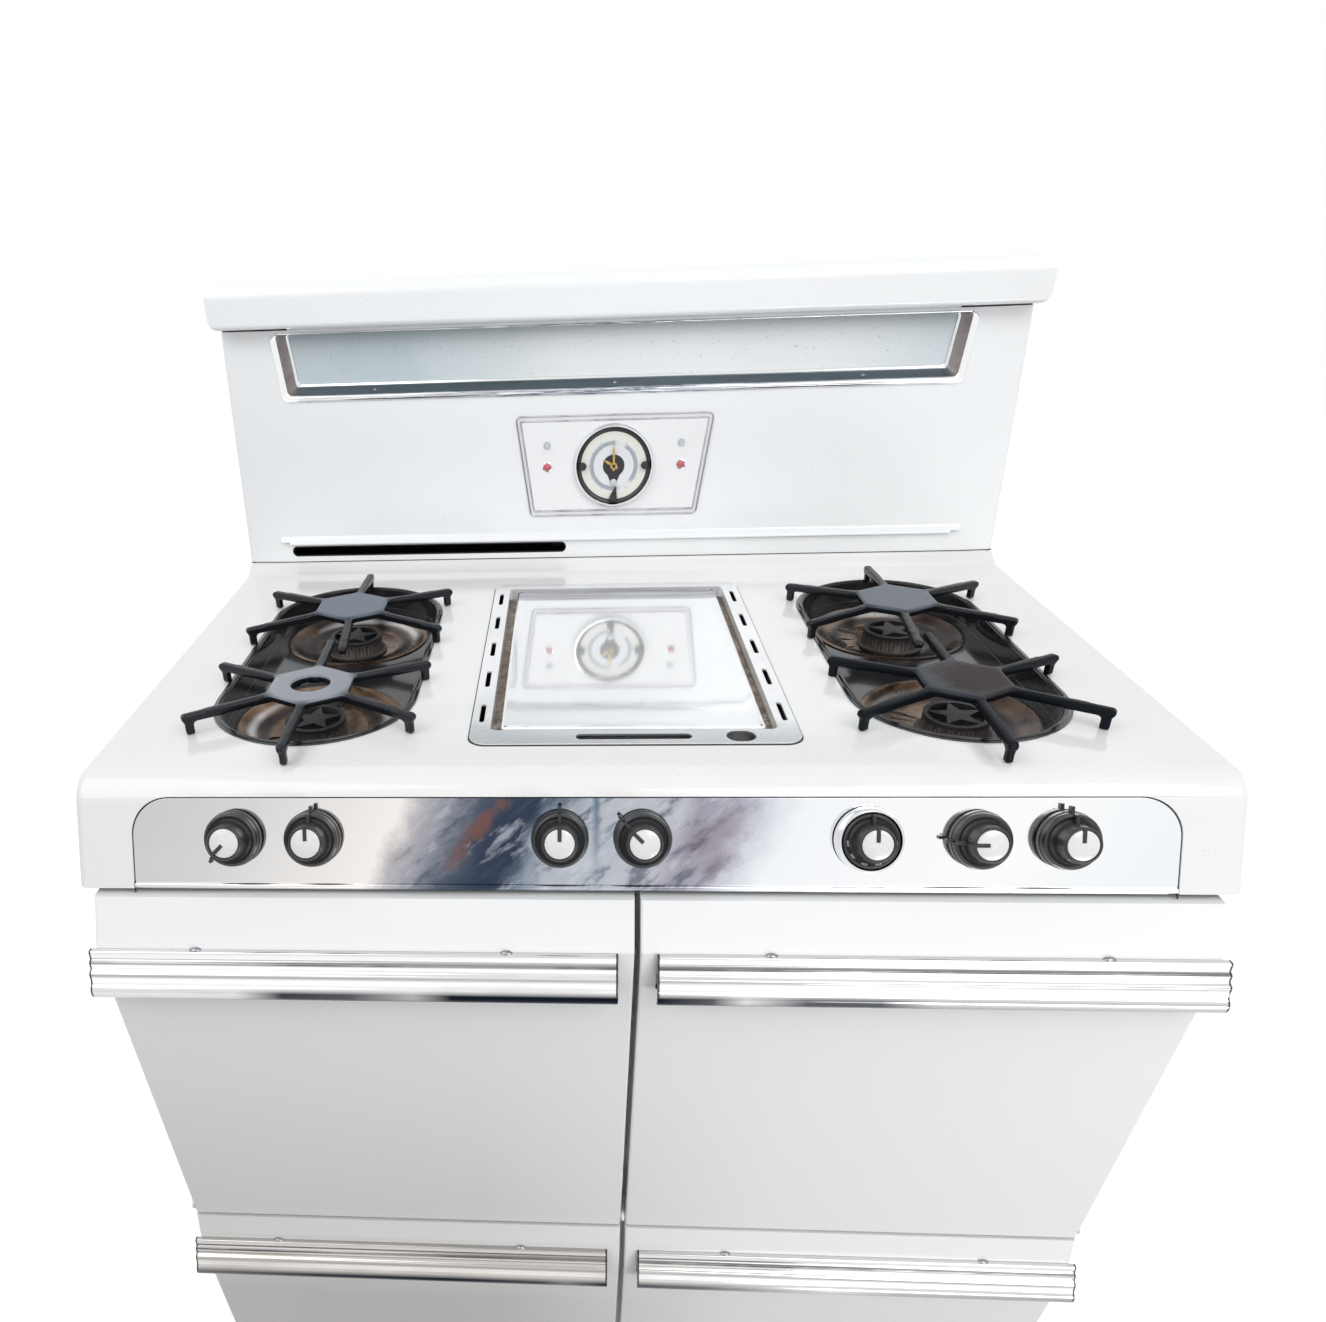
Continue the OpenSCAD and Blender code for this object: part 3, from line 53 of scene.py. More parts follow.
OVERALL_D = 755 * MM
FRONT_Y = -OVERALL_D / 2
BACK_Y = OVERALL_D / 2
COOK_H = 914 * MM
COOK_HALF = 505 * MM
SHEET = 2.5 * MM
NOSE_R = 34 * MM
NOSE_Y = FRONT_Y + 107.5 * MM
NOSE_Z = COOK_H - NOSE_R
LEAN = math.radians(23)
APRON_Z = COOK_H - 92 * MM
APRON_Y = NOSE_Y - NOSE_R * math.cos(LEAN) - (NOSE_Z + NOSE_R * math.sin(LEAN) - APRON_Z) * math.tan(LEAN)
SKIRT_Z = COOK_H - 34 * MM
LEG_SIDE_Y = NOSE_Y + 20 * MM
COVE_RISE = 10 * MM
COVE_RUN = 34 * MM
SEAM_Y = BACK_Y - 74 * MM
COOK_BACK = BACK_Y - 3.5 * MM
FLUE_X = (-423 * MM, -81 * MM)
FLUE_Y = (SEAM_Y + 17 * MM, SEAM_Y + 55 * MM)

BAY_X = 317 * MM
BAY_Y = -8 * MM
BAY_W, BAY_L = 198 * MM, 438 * MM
PAN_RIM = 5 * MM
PAN_FLOOR = COOK_H - 24 * MM
BOWL_R = 86 * MM
BOWL_BACK = 15 * MM
BOWL_DEPTH = 10 * MM
HEAD_R = 31 * MM
PORTS = 20
BURNER_Y = (-143 * MM, 85 * MM)
GRATE_Z = COOK_H + 25 * MM
ARM_REACH = 130 * MM
ARM_W = 9 * MM
HUB_R = 47 * MM

GRIDDLE_Y = BAY_Y
GRIDDLE_W, GRIDDLE_L = 306 * MM, 449 * MM
RIM_SIDE, RIM_FRONT, RIM_BACK = 19 * MM, 28 * MM, 18 * MM
WELL_W = GRIDDLE_W - 2 * RIM_SIDE
WELL_L = GRIDDLE_L - RIM_FRONT - RIM_BACK
WELL_Y = GRIDDLE_Y + (RIM_FRONT - RIM_BACK) / 2
WELL_Z = COOK_H - 12 * MM
SLOT_PITCH = 82 * MM
PLATE_W, PLATE_L = WELL_W - 20 * MM, WELL_L - 13 * MM
PLATE_Y = WELL_Y - 1.5 * MM
PLATE_Z = COOK_H + 1.5 * MM

PANEL_W, PANEL_H = 904 * MM, 83 * MM
PANEL_R, PANEL_FOOT_R = 34 * MM, 8 * MM
KNOB_UP = 47 * MM
KNOB_Z = APRON_Z + KNOB_UP * math.cos(LEAN)
KNOB_R = 25 * MM
KNOB_H = 32 * MM
# Knobs from left to right: node, place along X, resting turn seen from the front
KNOBS = (
    ("knob_1", -357 * MM, 135),
    ("knob_2", -285.5 * MM, 0),
    ("knob_3", -67.75 * MM, 0),
    ("knob_4", 3.75 * MM, 45),
    ("knob_thermostat", 194 * MM, 0),
    ("knob_6", 285.5 * MM, 90),
    ("knob_7", 357 * MM, 0),
)

GUARD_HALF = 503 * MM
GUARD_RISE = 359 * MM
SHELF_H = 51 * MM
SHELF_HALF = 508 * MM
SHELF_OVER = 29 * MM
SHELF_NOSE_R = 17 * MM
GUARD_CREASE = GUARD_HALF - 45 * MM
GUARD_LEAN = 23.5 * MM
GUARD_TILT = math.atan(GUARD_LEAN / (GUARD_RISE - SHELF_H - COVE_RISE))
GUARD_TOP_Z = COOK_H + GUARD_RISE - SHELF_H
GUARD_TOP_Y = SEAM_Y + GUARD_LEAN
LAMP_UP = 226 * MM
LAMP_H = (GUARD_RISE - SHELF_H - 8 * MM - LAMP_UP) / math.cos(GUARD_TILT)
LAMP_HALF = 424 * MM
LAMP_FLARE = 0.12
LAMP_DEPTH = 16 * MM
LAMP_SCREW_X = 310 * MM
CLOCK_UP = 130 * MM
CLOCK_W, CLOCK_H = 256 * MM, 128 * MM
CLOCK_TAPER = 0.14
CLOCK_R = 53 * MM
DIAL_R = 47 * MM
BUTTON_X, BUTTON_UP, BUTTON_R = 87 * MM, 27 * MM, 4.2 * MM
JEWEL_R = 5 * MM
CLOCK_KNOB_RING = 40.5 * MM
VENT_X, VENT_UP = -252 * MM, 25 * MM
VENT_L, VENT_H = 377 * MM, 12 * MM
LEDGE_UP, LEDGE_HALF, LEDGE_OUT, LEDGE_TAPER = 35 * MM, 456 * MM, 7 * MM, 13 * MM

SEAM_Z = 349 * MM
SEAM_HALF = 2 * MM
DOOR_IN, DOOR_OUT = 2.5 * MM, 489.5 * MM
DOOR_TOP_Z = APRON_Z - 6 * MM
DOOR_BACK_Y = FRONT_Y + 99 * MM
DOOR_KINK_Y = FRONT_Y + 20 * MM
DOOR_FOOT_Y = FRONT_Y + 64 * MM
DRAWER_KINK_Y = FRONT_Y + 58.5 * MM
DRAWER_FOOT_Y = FRONT_Y + 84 * MM
DRAWER_FOOT_Z = 92 * MM
HANDLE_L, HANDLE_H = 477 * MM, 46 * MM
HANDLE_SCREW_IN = 98 * MM
HANDLE_Z = COOK_H - 140 * MM
LOW_HANDLE_Z = SEAM_Z - 34 * MM
ROLL_R = 9 * MM
STEP = 5.5 * MM

# ---------- shaping ----------


def begin():
    """Object mode with nothing selected."""
    if bpy.context.object and bpy.context.object.mode != "OBJECT":
        bpy.ops.object.mode_set(mode="OBJECT")
    bpy.ops.object.select_all(action="DESELECT")


def take(piece):
    """Selects one piece and makes it the active one."""
    begin()
    piece.select_set(True)
    bpy.context.view_layer.objects.active = piece


def named(name):
    """The active piece, under a name."""
    piece = bpy.context.object
    piece.name = name
    piece.data.name = name
    return piece


def edit(piece, kind="VERT", chosen=None):
    """Edit mode with everything selected, or only what passes the test."""
    take(piece)
    bpy.ops.object.mode_set(mode="EDIT")
    bpy.ops.mesh.select_mode(type=kind)
    bpy.ops.mesh.select_all(action="SELECT" if chosen is None else "DESELECT")
    if chosen is None:
        return
    bpy.ops.object.mode_set(mode="OBJECT")
    mesh = piece.data
    if kind == "FACE":
        for face in mesh.polygons:
            face.select = chosen(face.center, face.normal)
    elif kind == "EDGE":
        for line in mesh.edges:
            line.select = chosen(*(mesh.vertices[i].co for i in line.vertices))
    else:
        for point in mesh.vertices:
            point.select = chosen(point.co)
    bpy.ops.object.mode_set(mode="EDIT")


def done():
    """Back to object mode."""
    bpy.ops.object.mode_set(mode="OBJECT")


def near(a, b):
    """Whether two measures are the same."""
    return abs(a - b) < 0.02 * MM


def polar(radius, turn):
    """A point in a plane from its radius and its turn in degrees."""
    return radius * math.cos(math.radians(turn)), radius * math.sin(math.radians(turn))


def shifted(points, x, y):
    """An outline moved in its plane."""
    return [(x + a, y + b) for a, b in points]


def mm(*points):
    """An outline given in millimetres."""
    return [tuple(c * MM for c in point) for point in points]


def arc(centre, radius, start, stop, count):
    """Points of an arc in a plane, angles in degrees, both ends included."""
    return shifted((polar(radius, start + (stop - start) * i / count) for i in range(count + 1)), *centre)


def rounded(corners, radius, count=6):
    """A convex outline with its corners rounded."""
    out = []
    for i, here in enumerate(corners):
        b = Vector(here)
        u = (Vector(corners[i - 1]) - b).normalized()
        w = (Vector(corners[(i + 1) % len(corners)]) - b).normalized()
        half = u.angle(w) / 2
        middle = b + (u + w).normalized() * radius / math.sin(half)
        first = b + u * radius / math.tan(half) - middle
        turn = math.pi - 2 * half
        side = 1 if u.x * w.y - u.y * w.x < 0 else -1
        for k in range(count + 1):
            a = side * turn * k / count
            out.append((
                middle.x + first.x * math.cos(a) - first.y * math.sin(a),
                middle.y + first.x * math.sin(a) + first.y * math.cos(a)))
    return out


def circle(radius, x=0, y=0, count=60):
    """A closed circle, without its last point twice."""
    return arc((x, y), radius, 0, 360 - 360 / count, count - 1)


def rectangle(width, length, radius, count=6):
    """A rectangle about the origin with round corners."""
    w, h = width / 2, length / 2
    return rounded([(-w, -h), (w, -h), (w, h), (-w, h)], radius, count)


def stadium(width, length, count=24):
    """A slot outline, long way along Y."""
    reach = (length - width) / 2
    return arc((0, reach), width / 2, 0, 180, count) + arc((0, -reach), width / 2, 180, 360, count)


def outline(name, points, filled=True):
    """A closed outline through 3-D points, as one face or as a ring of edges."""
    begin()
    bpy.ops.mesh.primitive_circle_add(vertices=len(points), fill_type="NGON" if filled else "NOTHING")
    piece = named(name)
    for vertex, point in zip(piece.data.vertices, points):
        vertex.co = point
    return piece


def even_normals():
    """Turns every face outward."""
    bpy.ops.mesh.select_all(action="SELECT")
    bpy.ops.mesh.normals_make_consistent(inside=False)


def push(piece, way):
    """Extrudes a flat piece into a closed solid."""
    edit(piece)
    bpy.ops.mesh.extrude_region_move(TRANSFORM_OT_translate={"value": way})
    even_normals()
    done()
    return piece


def bar(name, profile, x0, x1):
    """A profile in (y, z) carried along X."""
    return push(outline(name, [(x0, y, z) for y, z in profile]), (x1 - x0, 0, 0))


def slab(name, profile, z0, z1):
    """An outline in (x, y) carried up from z0 to z1."""
    return push(outline(name, [(x, y, z0) for x, y in profile]), (0, 0, z1 - z0))


def cutter(profile, z0, z1):
    """A slab to cut with."""
    return slab("cut", profile, z0, z1)


def block(name, lo, hi):
    """A box from its low and high corners."""
    begin()
    middle = [(a + b) / 2 for a, b in zip(lo, hi)]
    bpy.ops.mesh.primitive_cube_add(size=1, location=middle)
    piece = named(name)
    piece.scale = [b - a for a, b in zip(lo, hi)]
    return settle(piece)


def settle(piece, matrix=None):
    """Moves the place of a piece into its mesh."""
    take(piece)
    if matrix is not None:
        piece.matrix_world = matrix @ piece.matrix_world
        bpy.context.view_layer.update()
    bpy.ops.object.transform_apply(location=True, rotation=True, scale=True)
    return piece


def turned(name, profile, steps=64):
    """A closed profile of (radius, height) turned about Z."""
    piece = outline(name, [(max(r, 0), 0, h) for r, h in profile], filled=False)
    edit(piece)
    bpy.ops.mesh.spin(steps=steps, angle=2 * math.pi, center=(0, 0, 0), axis=(0, 0, 1))
    bpy.ops.mesh.select_all(action="SELECT")
    bpy.ops.mesh.remove_doubles(threshold=0.01 * MM)
    bpy.ops.mesh.dissolve_degenerate(threshold=0.01 * MM)
    even_normals()
    done()
    return piece


def joined(name, *pieces):
    """One piece of several."""
    begin()
    for piece in pieces:
        piece.select_set(True)
    bpy.context.view_layer.objects.active = pieces[0]
    bpy.ops.object.join()
    return named(name)


def modified(piece, kind, **settings):
    """Adds a modifier and applies it."""
    take(piece)
    change = piece.modifiers.new(kind.title(), kind)
    for key, value in settings.items():
        setattr(change, key, value)
    bpy.ops.object.modifier_apply(modifier=change.name)
    return piece


def cut(piece, *tools, operation="DIFFERENCE"):
    """Cuts a piece with tools, or unites or crosses it with them."""
    for tool in tools:
        modified(piece, "BOOLEAN", operation=operation, object=tool, solver="EXACT")
        bpy.data.objects.remove(tool)
    return piece


def smooth(piece, angle=40):
    """Smooth shading, except over edges sharper than the angle."""
    take(piece)
    bpy.ops.object.shade_smooth_by_angle(angle=math.radians(angle))
    return piece


def soften(piece, width, segments=2, angle=35):
    """Rounds the sharp edges by a width in millimetres, so that they catch the light."""
    modified(
        piece, "BEVEL", width=width * MM, segments=segments, limit_method="ANGLE",
        angle_limit=math.radians(angle), miter_outer="MITER_ARC")
    take(piece)
    bpy.ops.object.shade_smooth()
    return modified(piece, "WEIGHTED_NORMAL", weight=60, keep_sharp=True)


def roll_edges(piece, chosen, radius, segments=5):
    """Bevels the edges that pass the test."""
    edit(piece, "EDGE", chosen)
    bpy.ops.mesh.bevel(offset=radius, segments=segments, affect="EDGES", clamp_overlap=False)
    done()
    return piece


def open_shell(piece, chosen, wall):
    """Takes away the faces that pass the test and gives the rest a wall inward."""
    edit(piece, "FACE", chosen)
    bpy.ops.mesh.delete(type="FACE")
    done()
    return modified(piece, "SOLIDIFY", thickness=wall, offset=-1, use_even_offset=True)


def leaning(x, y, z, tilt):
    """Frame of a face that leans back by tilt: X right, Y up the slope, Z outward."""
    return Matrix.Translation((x, y, z)) @ Matrix.Rotation(math.pi / 2 - tilt, 4, "X")


def on_panel(x=0, up=0):
    """Frame of a place on the control panel."""
    return leaning(x, APRON_Y, APRON_Z, LEAN) @ Matrix.Translation((0, up, 0))


def guard_y(up):
    """How far back the backguard's face is at a height over the cooktop."""
    return SEAM_Y + (up - COVE_RISE) * math.tan(GUARD_TILT)


def on_guard(x, up):
    """Frame of a place on the backguard's face."""
    return leaning(x, guard_y(up), COOK_H + up, GUARD_TILT)


# ---------- finishes ----------


class Value:
    """A socket of a finish, with the arithmetic that the finishes use."""

    def __init__(self, finish, socket):
        self.finish = finish
        self.socket = socket

    def maths(self, operation, *values):
        return self.finish.node("Math", dict(enumerate(values)), operation=operation)


def arithmetic(operation, backward=False):
    """A method of Value that puts one maths node on it and on what it is given."""
    return lambda self, *other: self.maths(operation, *(*other, self) if backward else (self, *other))


for method, operation in {
        "__add__": "ADD", "__radd__": "ADD", "__sub__": "SUBTRACT", "__mul__": "MULTIPLY",
        "__rmul__": "MULTIPLY", "__truediv__": "DIVIDE", "__pow__": "POWER", "below": "LESS_THAN",
        "above": "GREATER_THAN", "larger": "MAXIMUM", "sine": "SINE", "size": "ABSOLUTE",
        "nearest": "ROUND", "angle": "ARCTAN2"}.items():
    setattr(Value, method, arithmetic(operation))
Value.__rsub__ = arithmetic("SUBTRACT", True)


def set_stops(ramp, stops):
    """Gives a colour ramp its stops, each a place and a grey or a colour."""
    while len(ramp.elements) > 1:
        ramp.elements.remove(ramp.elements[-1])
    ramp.elements[0].position = stops[0][0]
    for at, _ in stops[1:]:
        ramp.elements.new(at)
    for stop, (_, value) in zip(ramp.elements, stops):
        grey = isinstance(value, (int, float))
        stop.color = (value, value, value, 1) if grey else (*value, 1)


class Shading:
    """A node tree, and the one call that adds a node to it."""

    def __init__(self, tree):
        self.tree = tree

    def node(self, kind, inputs, out=0, **settings):
        made = self.tree.nodes.new("ShaderNode" + kind)
        for key, value in settings.items():
            if key == "stops":
                set_stops(made.color_ramp, value)
            else:
                setattr(made, key, value)
        for key, value in inputs.items():
            if isinstance(value, Value):
                self.tree.links.new(value.socket, made.inputs[key])
            else:
                made.inputs[key].default_value = value
        return Value(self, made.outputs[out])


class Finish(Shading):
    """A procedural material on one Principled shader."""

    def __init__(self, name, **uniform):
        self.material = bpy.data.materials.new(name)
        self.material.use_nodes = True
        super().__init__(self.material.node_tree)
        self.shader = self.tree.nodes["Principled BSDF"]
        for key, value in uniform.items():
            self.shader.inputs[key.replace("_", " ")].default_value = value
        here = self.tree.nodes.new("ShaderNodeTexCoord")
        self.place = Value(self, here.outputs["Object"])

    def ramp(self, value, *stops):
        return self.node("ValToRGB", {0: value}, stops=stops)

    def mix(self, factor, a, b):
        """A colour between a and b."""
        wide = [c if isinstance(c, Value) else (*c, 1) for c in (a, b)]
        return self.node("Mix", {0: factor, 6: wide[0], 7: wide[1]}, 2, data_type="RGBA")

    def noise(self, scale, detail=3, roughness=0.5, place=None, out=0):
        return self.node("TexNoise", {
            "Vector": place or self.place, "Scale": scale, "Detail": detail, "Roughness": roughness}, out)

    def stretched(self, *scale):
        """Object coordinates scaled along each axis."""
        return self.node("Mapping", {"Vector": self.place, "Scale": scale})

    def axes(self):
        """The three object coordinates, as numbers."""
        split = self.tree.nodes.new("ShaderNodeSeparateXYZ")
        self.tree.links.new(self.place.socket, split.inputs[0])
        return [Value(self, split.outputs[i]) for i in range(3)]

    def feed(self, **sockets):
        for key, value in sockets.items():
            self.tree.links.new(value.socket, self.shader.inputs[key.replace("_", " ")])
        return self

    def bump(self, height, strength=0.2, distance=MM):
        return self.feed(Normal=self.node(
            "Bump", {"Height": height, "Strength": strength, "Distance": distance}))


def dimmed(colour, share):
    """A colour with every part of it made darker."""
    return tuple(c * share for c in colour)


def speckle(finish, scale, low, high):
    """A mask of scattered specks."""
    return finish.ramp(finish.noise(scale, 2, 0.6), (low, 0), (high, 1))


def enamel(name, colour, shade, peel=0.05, dull=None):
    """Glassy enamel with faint clouding, rare pinholes and a slight ripple."""
    f = Finish(name, Coat_Weight=0.35, Coat_Roughness=0.04, IOR=1.5)
    cloud = f.noise(3.2, 4, 0.6)
    tint = f.mix(f.ramp(cloud, (0.35, 0), (0.7, 1)), colour, shade)
    # dull, where given, is a mask of painted shade that darkens the tint
    if dull:
        tint = f.mix(dull(f), tint, dimmed(shade, 0.8))
    specks = speckle(f, 310, 0.735, 0.76)
    f.feed(
        Base_Color=f.mix(specks * 0.55, tint, dimmed(shade, 0.45)),
        Roughness=f.noise(9, 3) * 0.08 + 0.10)
    return f.bump(f.noise(45, 2), peel, 0.3 * MM)


def painted_shade_top(finish):
    """A mask of painted shade that darkens the cooktop's sides and nose."""
    x, y, _ = finish.axes()
    side = finish.ramp(x.size(), (0.34, 0), (0.46, 0.38))
    return side.larger(finish.ramp(y + 0.5, (0.22, 0.38), (0.29, 0)))


def painted_shade_front_finish():
    """Enamel of doors and drawers with painted shade: darker toward the foot, most of all on the left."""
    f = Finish("painted_shade_front_enamel", Coat_Weight=0.35, Coat_Roughness=0.04, IOR=1.5)
    x, _, z = f.axes()
    # foot and side make a mask of painted shade, strongest low on the left
    foot = f.ramp(z, (0.10, 1), (0.20, 0.95), (0.26, 0.45), (0.33, 0.42), (0.37, 0.55), (0.6, 0.22), (0.8, 0))
    side = f.ramp(x + 0.5, (0.35, 1), (0.65, 0.24))
    cloud = f.noise(3.2, 4, 0.6)
    f.feed(
        Base_Color=f.mix(foot * side + cloud * 0.06, (0.90, 0.905, 0.905), (0.50, 0.475, 0.455)),
        Roughness=f.noise(9, 3) * 0.08 + 0.10)
    return f.bump(f.noise(45, 2), 0.05, 0.3 * MM)


def chrome(name, colour, rough=0.05, smudge=0.16):
    """Plated metal with wiping marks and dull patches."""
    f = Finish(name, Metallic=1.0)
    patch = f.ramp(f.noise(5.5, 5, 0.62), (0.42, 0), (0.72, 1))
    fine = f.noise(60, 4, 0.7, f.stretched(1, 3, 3))
    dull = dimmed(colour, 0.80)
    f.feed(
        Base_Color=f.mix(patch * 0.6 + speckle(f, 240, 0.70, 0.76) * 0.35, colour, dull),
        Roughness=fine * smudge * 0.5 + patch * smudge * 0.4 + rough)
    return f.bump(fine, 0.03, 0.2 * MM)


def iron(name, colour, worn, rough=0.34, hub=None, gloss=0.3, burnt=None):
    """Cast iron with a fine grain; hub is the middle of a painted reflection on a grate's middle plate and
    its reach, burnt its dark spot.
    """
    f = Finish(name, Specular_IOR_Level=gloss)
    grain = f.noise(260, 4, 0.65)
    wear = f.ramp(f.noise(14, 4, 0.6), (0.45, 0), (0.75, 1))
    mask = wear * 0.5
    # With a hub, worn is the colour of a painted reflection on the plate's top, in place of random wear.
    if hub:
        x, y, z = f.axes()
        away = ((x - hub[0]) ** 2 + (y - hub[1]) ** 2) ** 0.5
        mask = f.ramp(away / (hub[2] * 1.6), (0.52, 1), (0.66, 0)) * (z.above(GRATE_Z - 2.5 * MM)) * 0.9
    tint = f.mix(mask, colour, worn)
    if burnt:
        spot = ((x - hub[0] - 9 * MM) ** 2 + (y - hub[1]) ** 2) ** 0.5 / (42 * MM)
        spot += (f.noise(40, 4, 0.6) - 0.5) * 0.7
        tint = f.mix(f.ramp(spot, (0.6, 1), (1.0, 0)), tint, burnt)
    f.feed(Base_Color=tint, Roughness=grain * 0.16 + rough - mask * 0.08)
    return f.bump(grain + f.noise(40, 3) * 1.5, 0.35, 0.25 * MM)


def plastic(name, colour, rough=0.22):
    """Moulded plastic with a faint haze."""
    f = Finish(name, Specular_IOR_Level=0.5)
    haze = f.noise(70, 4, 0.6)
    f.feed(
        Base_Color=f.mix(haze, colour, tuple(min(1, c * 1.6 + 0.012) for c in colour)),
        Roughness=haze * 0.18 + rough)
    return f.bump(f.noise(500, 2), 0.06, 0.1 * MM)


def sheet_metal(name, colour, rough=0.35):
    """Zinc or steel sheet with rolling marks."""
    f = Finish(name, Metallic=1.0)
    lines = f.noise(30, 5, 0.7, f.stretched(1, 1, 26))
    f.feed(
        Base_Color=f.mix(lines, colour, dimmed(colour, 0.78)),
        Roughness=f.noise(12, 4) * 0.2 + rough)
    return f.bump(lines, 0.08, 0.2 * MM)


WHITE = (0.88, 0.88, 0.865)
white_enamel = enamel("white_enamel", WHITE, (0.84, 0.845, 0.84))
# The cooktop's enamel, with painted shade over its sides and nose.
cooktop_enamel = enamel("cooktop_enamel", (0.92, 0.915, 0.90), (0.89, 0.885, 0.865), dull=painted_shade_top)
# Guard and shelf: the same white enamel made paler, as painted light.
guard_painted_light_enamel = enamel("guard_painted_light_enamel", (0.95, 0.96, 0.97), (0.93, 0.94, 0.95))
black_enamel = enamel("black_enamel", (0.012, 0.012, 0.014), (0.020, 0.020, 0.022), 0.10)
oven_enamel = enamel("oven_enamel", (0.030, 0.036, 0.060), (0.045, 0.050, 0.075), 0.12)
bright_chrome = chrome("bright_chrome", (0.80, 0.81, 0.82))
frame_chrome = chrome("frame_chrome", (0.97, 0.97, 0.975), 0.07, 0.18)
frame_front = (frame_chrome.axes()[1] - (GRIDDLE_Y - GRIDDLE_L / 2)) / (60 * MM)
frame_chrome.feed(Metallic=frame_chrome.ramp(frame_front, (0.5, 0.75), (0.9, 0.4)))
zinc = sheet_metal("zinc_sheet", (0.55, 0.56, 0.57))
steel = sheet_metal("steel_bar", (0.42, 0.42, 0.43))
brass = sheet_metal("brass", (0.62, 0.43, 0.16), 0.28)
black_iron = iron("black_iron", (0.016, 0.018, 0.021), (0.045, 0.045, 0.047))
black_plastic = plastic("black_plastic", (0.014, 0.014, 0.016))
motor_plastic = plastic("motor_plastic", (0.02, 0.02, 0.02), 0.5)
dark_gap = plastic("dark_gap", (0.006, 0.006, 0.007), 0.6)


def mirror_plate():
    """Polished griddle plate with fine wiping scratches, faint heat marks and a painted reflection along its
    rear edge.
    """
    f = Finish("mirror_plate", Metallic=0.6)
    wipe = f.noise(24, 5, 0.7, f.stretched(1, 7, 1))
    heat = f.ramp(f.noise(4.5, 4, 0.6), (0.4, 0), (0.8, 1))
    _, y, _ = f.axes()
    # rear: a dark streaky band of painted reflection, standing in for the backguard's foot mirrored in the
    # plate
    rear = f.ramp((PLATE_Y + PLATE_L / 2 - y) / (60 * MM), (0.0, 1), (0.45, 0.85), (0.60, 0))
    streak = f.noise(1, 4, 0.6, f.stretched(8, 160, 1))
    polished = f.mix(heat * 0.3, (0.98, 0.985, 0.99), (0.90, 0.89, 0.88))
    f.feed(
        Base_Color=f.mix(rear * f.ramp(streak, (0.35, 1), (0.62, 0.6)), polished, (0.22, 0.22, 0.25)),
        Roughness=f.ramp(wipe, (0.45, 0.045), (0.8, 0.12)))
    return f.bump(wipe, 0.02, 0.1 * MM)


def heated_chrome():
    """Bowl chrome, straw and brown where the flame heats it, with painted highlight arcs near the rim and
    painted shade heaviest on the right.
    """
    f = Finish("heated_chrome", Metallic=1.0)
    x, y, _ = f.axes()
    side = x.size() - BAY_X
    along = (y + 14 * MM).size() - 114 * MM
    away = (side ** 2 + along ** 2) ** 0.5
    rings = f.noise(9, 5, 0.65)
    burnt = f.ramp(
        rings, (0.30, (0.03, 0.025, 0.024)), (0.42, (0.10, 0.06, 0.04)), (0.52, (0.23, 0.145, 0.09)),
        (0.60, (0.30, 0.23, 0.175)), (0.68, (0.07, 0.055, 0.05)), (0.85, (0.03, 0.03, 0.035)))
    # Painted highlight: bright arcs near the rim, broken by noise.
    painted_highlight_arcs = f.ramp((away - 70 * MM).size() / (6 * MM), (0.2, 0.6), (1.0, 0)) * f.ramp(
        f.noise(7, 2), (0.50, 0), (0.58, 1))
    dark = f.ramp((away - 58 * MM).size() / (8 * MM), (0.3, 0.8), (1.0, 0))
    # Painted shade: every bowl a little darker, the right-hand part of the right bowls much darker.
    painted_shade_right = f.mix(f.ramp(x, (0.30, 0.15), (0.35, 0.65)), burnt, (0.02, 0.02, 0.025))
    f.feed(
        Base_Color=f.mix(painted_highlight_arcs, f.mix(dark, painted_shade_right, (0.025, 0.025, 0.03)), (0.85, 0.86, 0.88)),
        Roughness=f.noise(50, 4, 0.6) * 0.3 + 0.10)
    return f.bump(f.noise(120, 3), 0.08, 0.2 * MM)


def groove_metal():
    """Baked-on fat in the griddle's side grooves."""
    f = Finish("groove_metal", Metallic=0.8)
    baked = f.noise(60, 5, 0.7)
    f.feed(
        Base_Color=f.ramp(
            baked, (0.35, (0.05, 0.035, 0.025)), (0.55, (0.25, 0.19, 0.14)), (0.75, (0.55, 0.52, 0.48))),
        Roughness=baked * 0.4 + 0.15)
    return f.bump(baked, 0.25, 0.3 * MM)


def ribbed_glass():
    """Pale lamp glass with fine level ribs and a few specks, with a painted highlight, painted light on the
    ribs and a painted shadow under the shelf.
    """
    f = Finish("ribbed_glass", IOR=1.5, Coat_Weight=0.3)
    x, _, z = f.axes()
    ribs = (z * (2 * math.pi / (2.2 * MM))).sine()
    cloud = f.noise(5, 4, 0.6)
    # glow: a painted highlight, brightest about x = 0.10 m
    glow = f.ramp((x - 0.10).size() / 0.36, (0.0, 1), (0.45, 0.85), (1.0, 0))
    body = f.mix(f.ramp(cloud, (0.35, 0), (0.7, 1)), (0.54, 0.64, 0.69), (0.66, 0.74, 0.77))
    lit = f.mix(glow, body, (0.95, 0.97, 0.97))
    dirt = speckle(f, 260, 0.70, 0.735)
    # shade: a painted shadow of the shelf along the glass's top; the ribs are painted as faint light stripes
    shade = f.ramp((GUARD_TOP_Z - 8 * MM - z) / (20 * MM), (0.0, 0.55), (0.55, 0.15), (1.0, 0))
    pane = f.mix(shade, f.mix((ribs + 1) * 0.08, lit, (0.95, 0.97, 0.97)), (0.16, 0.22, 0.25))
    f.feed(Base_Color=f.mix(dirt * 0.6, pane, (0.12, 0.13, 0.14)), Roughness=cloud * 0.1 + 0.14)
    return f


def ribbed_plate():
    """White clock plate with fine upright ribs, painted as pale grey stripes of light and shade."""
    f = Finish("ribbed_plate", Coat_Weight=0.3)
    x, _, _ = f.axes()
    ribs = (x * (2 * math.pi / (2.4 * MM))).sine()
    f.feed(
        Base_Color=f.mix((ribs + 1) * 0.5, (0.89, 0.895, 0.91), (0.96, 0.96, 0.96)),
        Roughness=f.noise(60, 3) * 0.1 + 0.3)
    return f


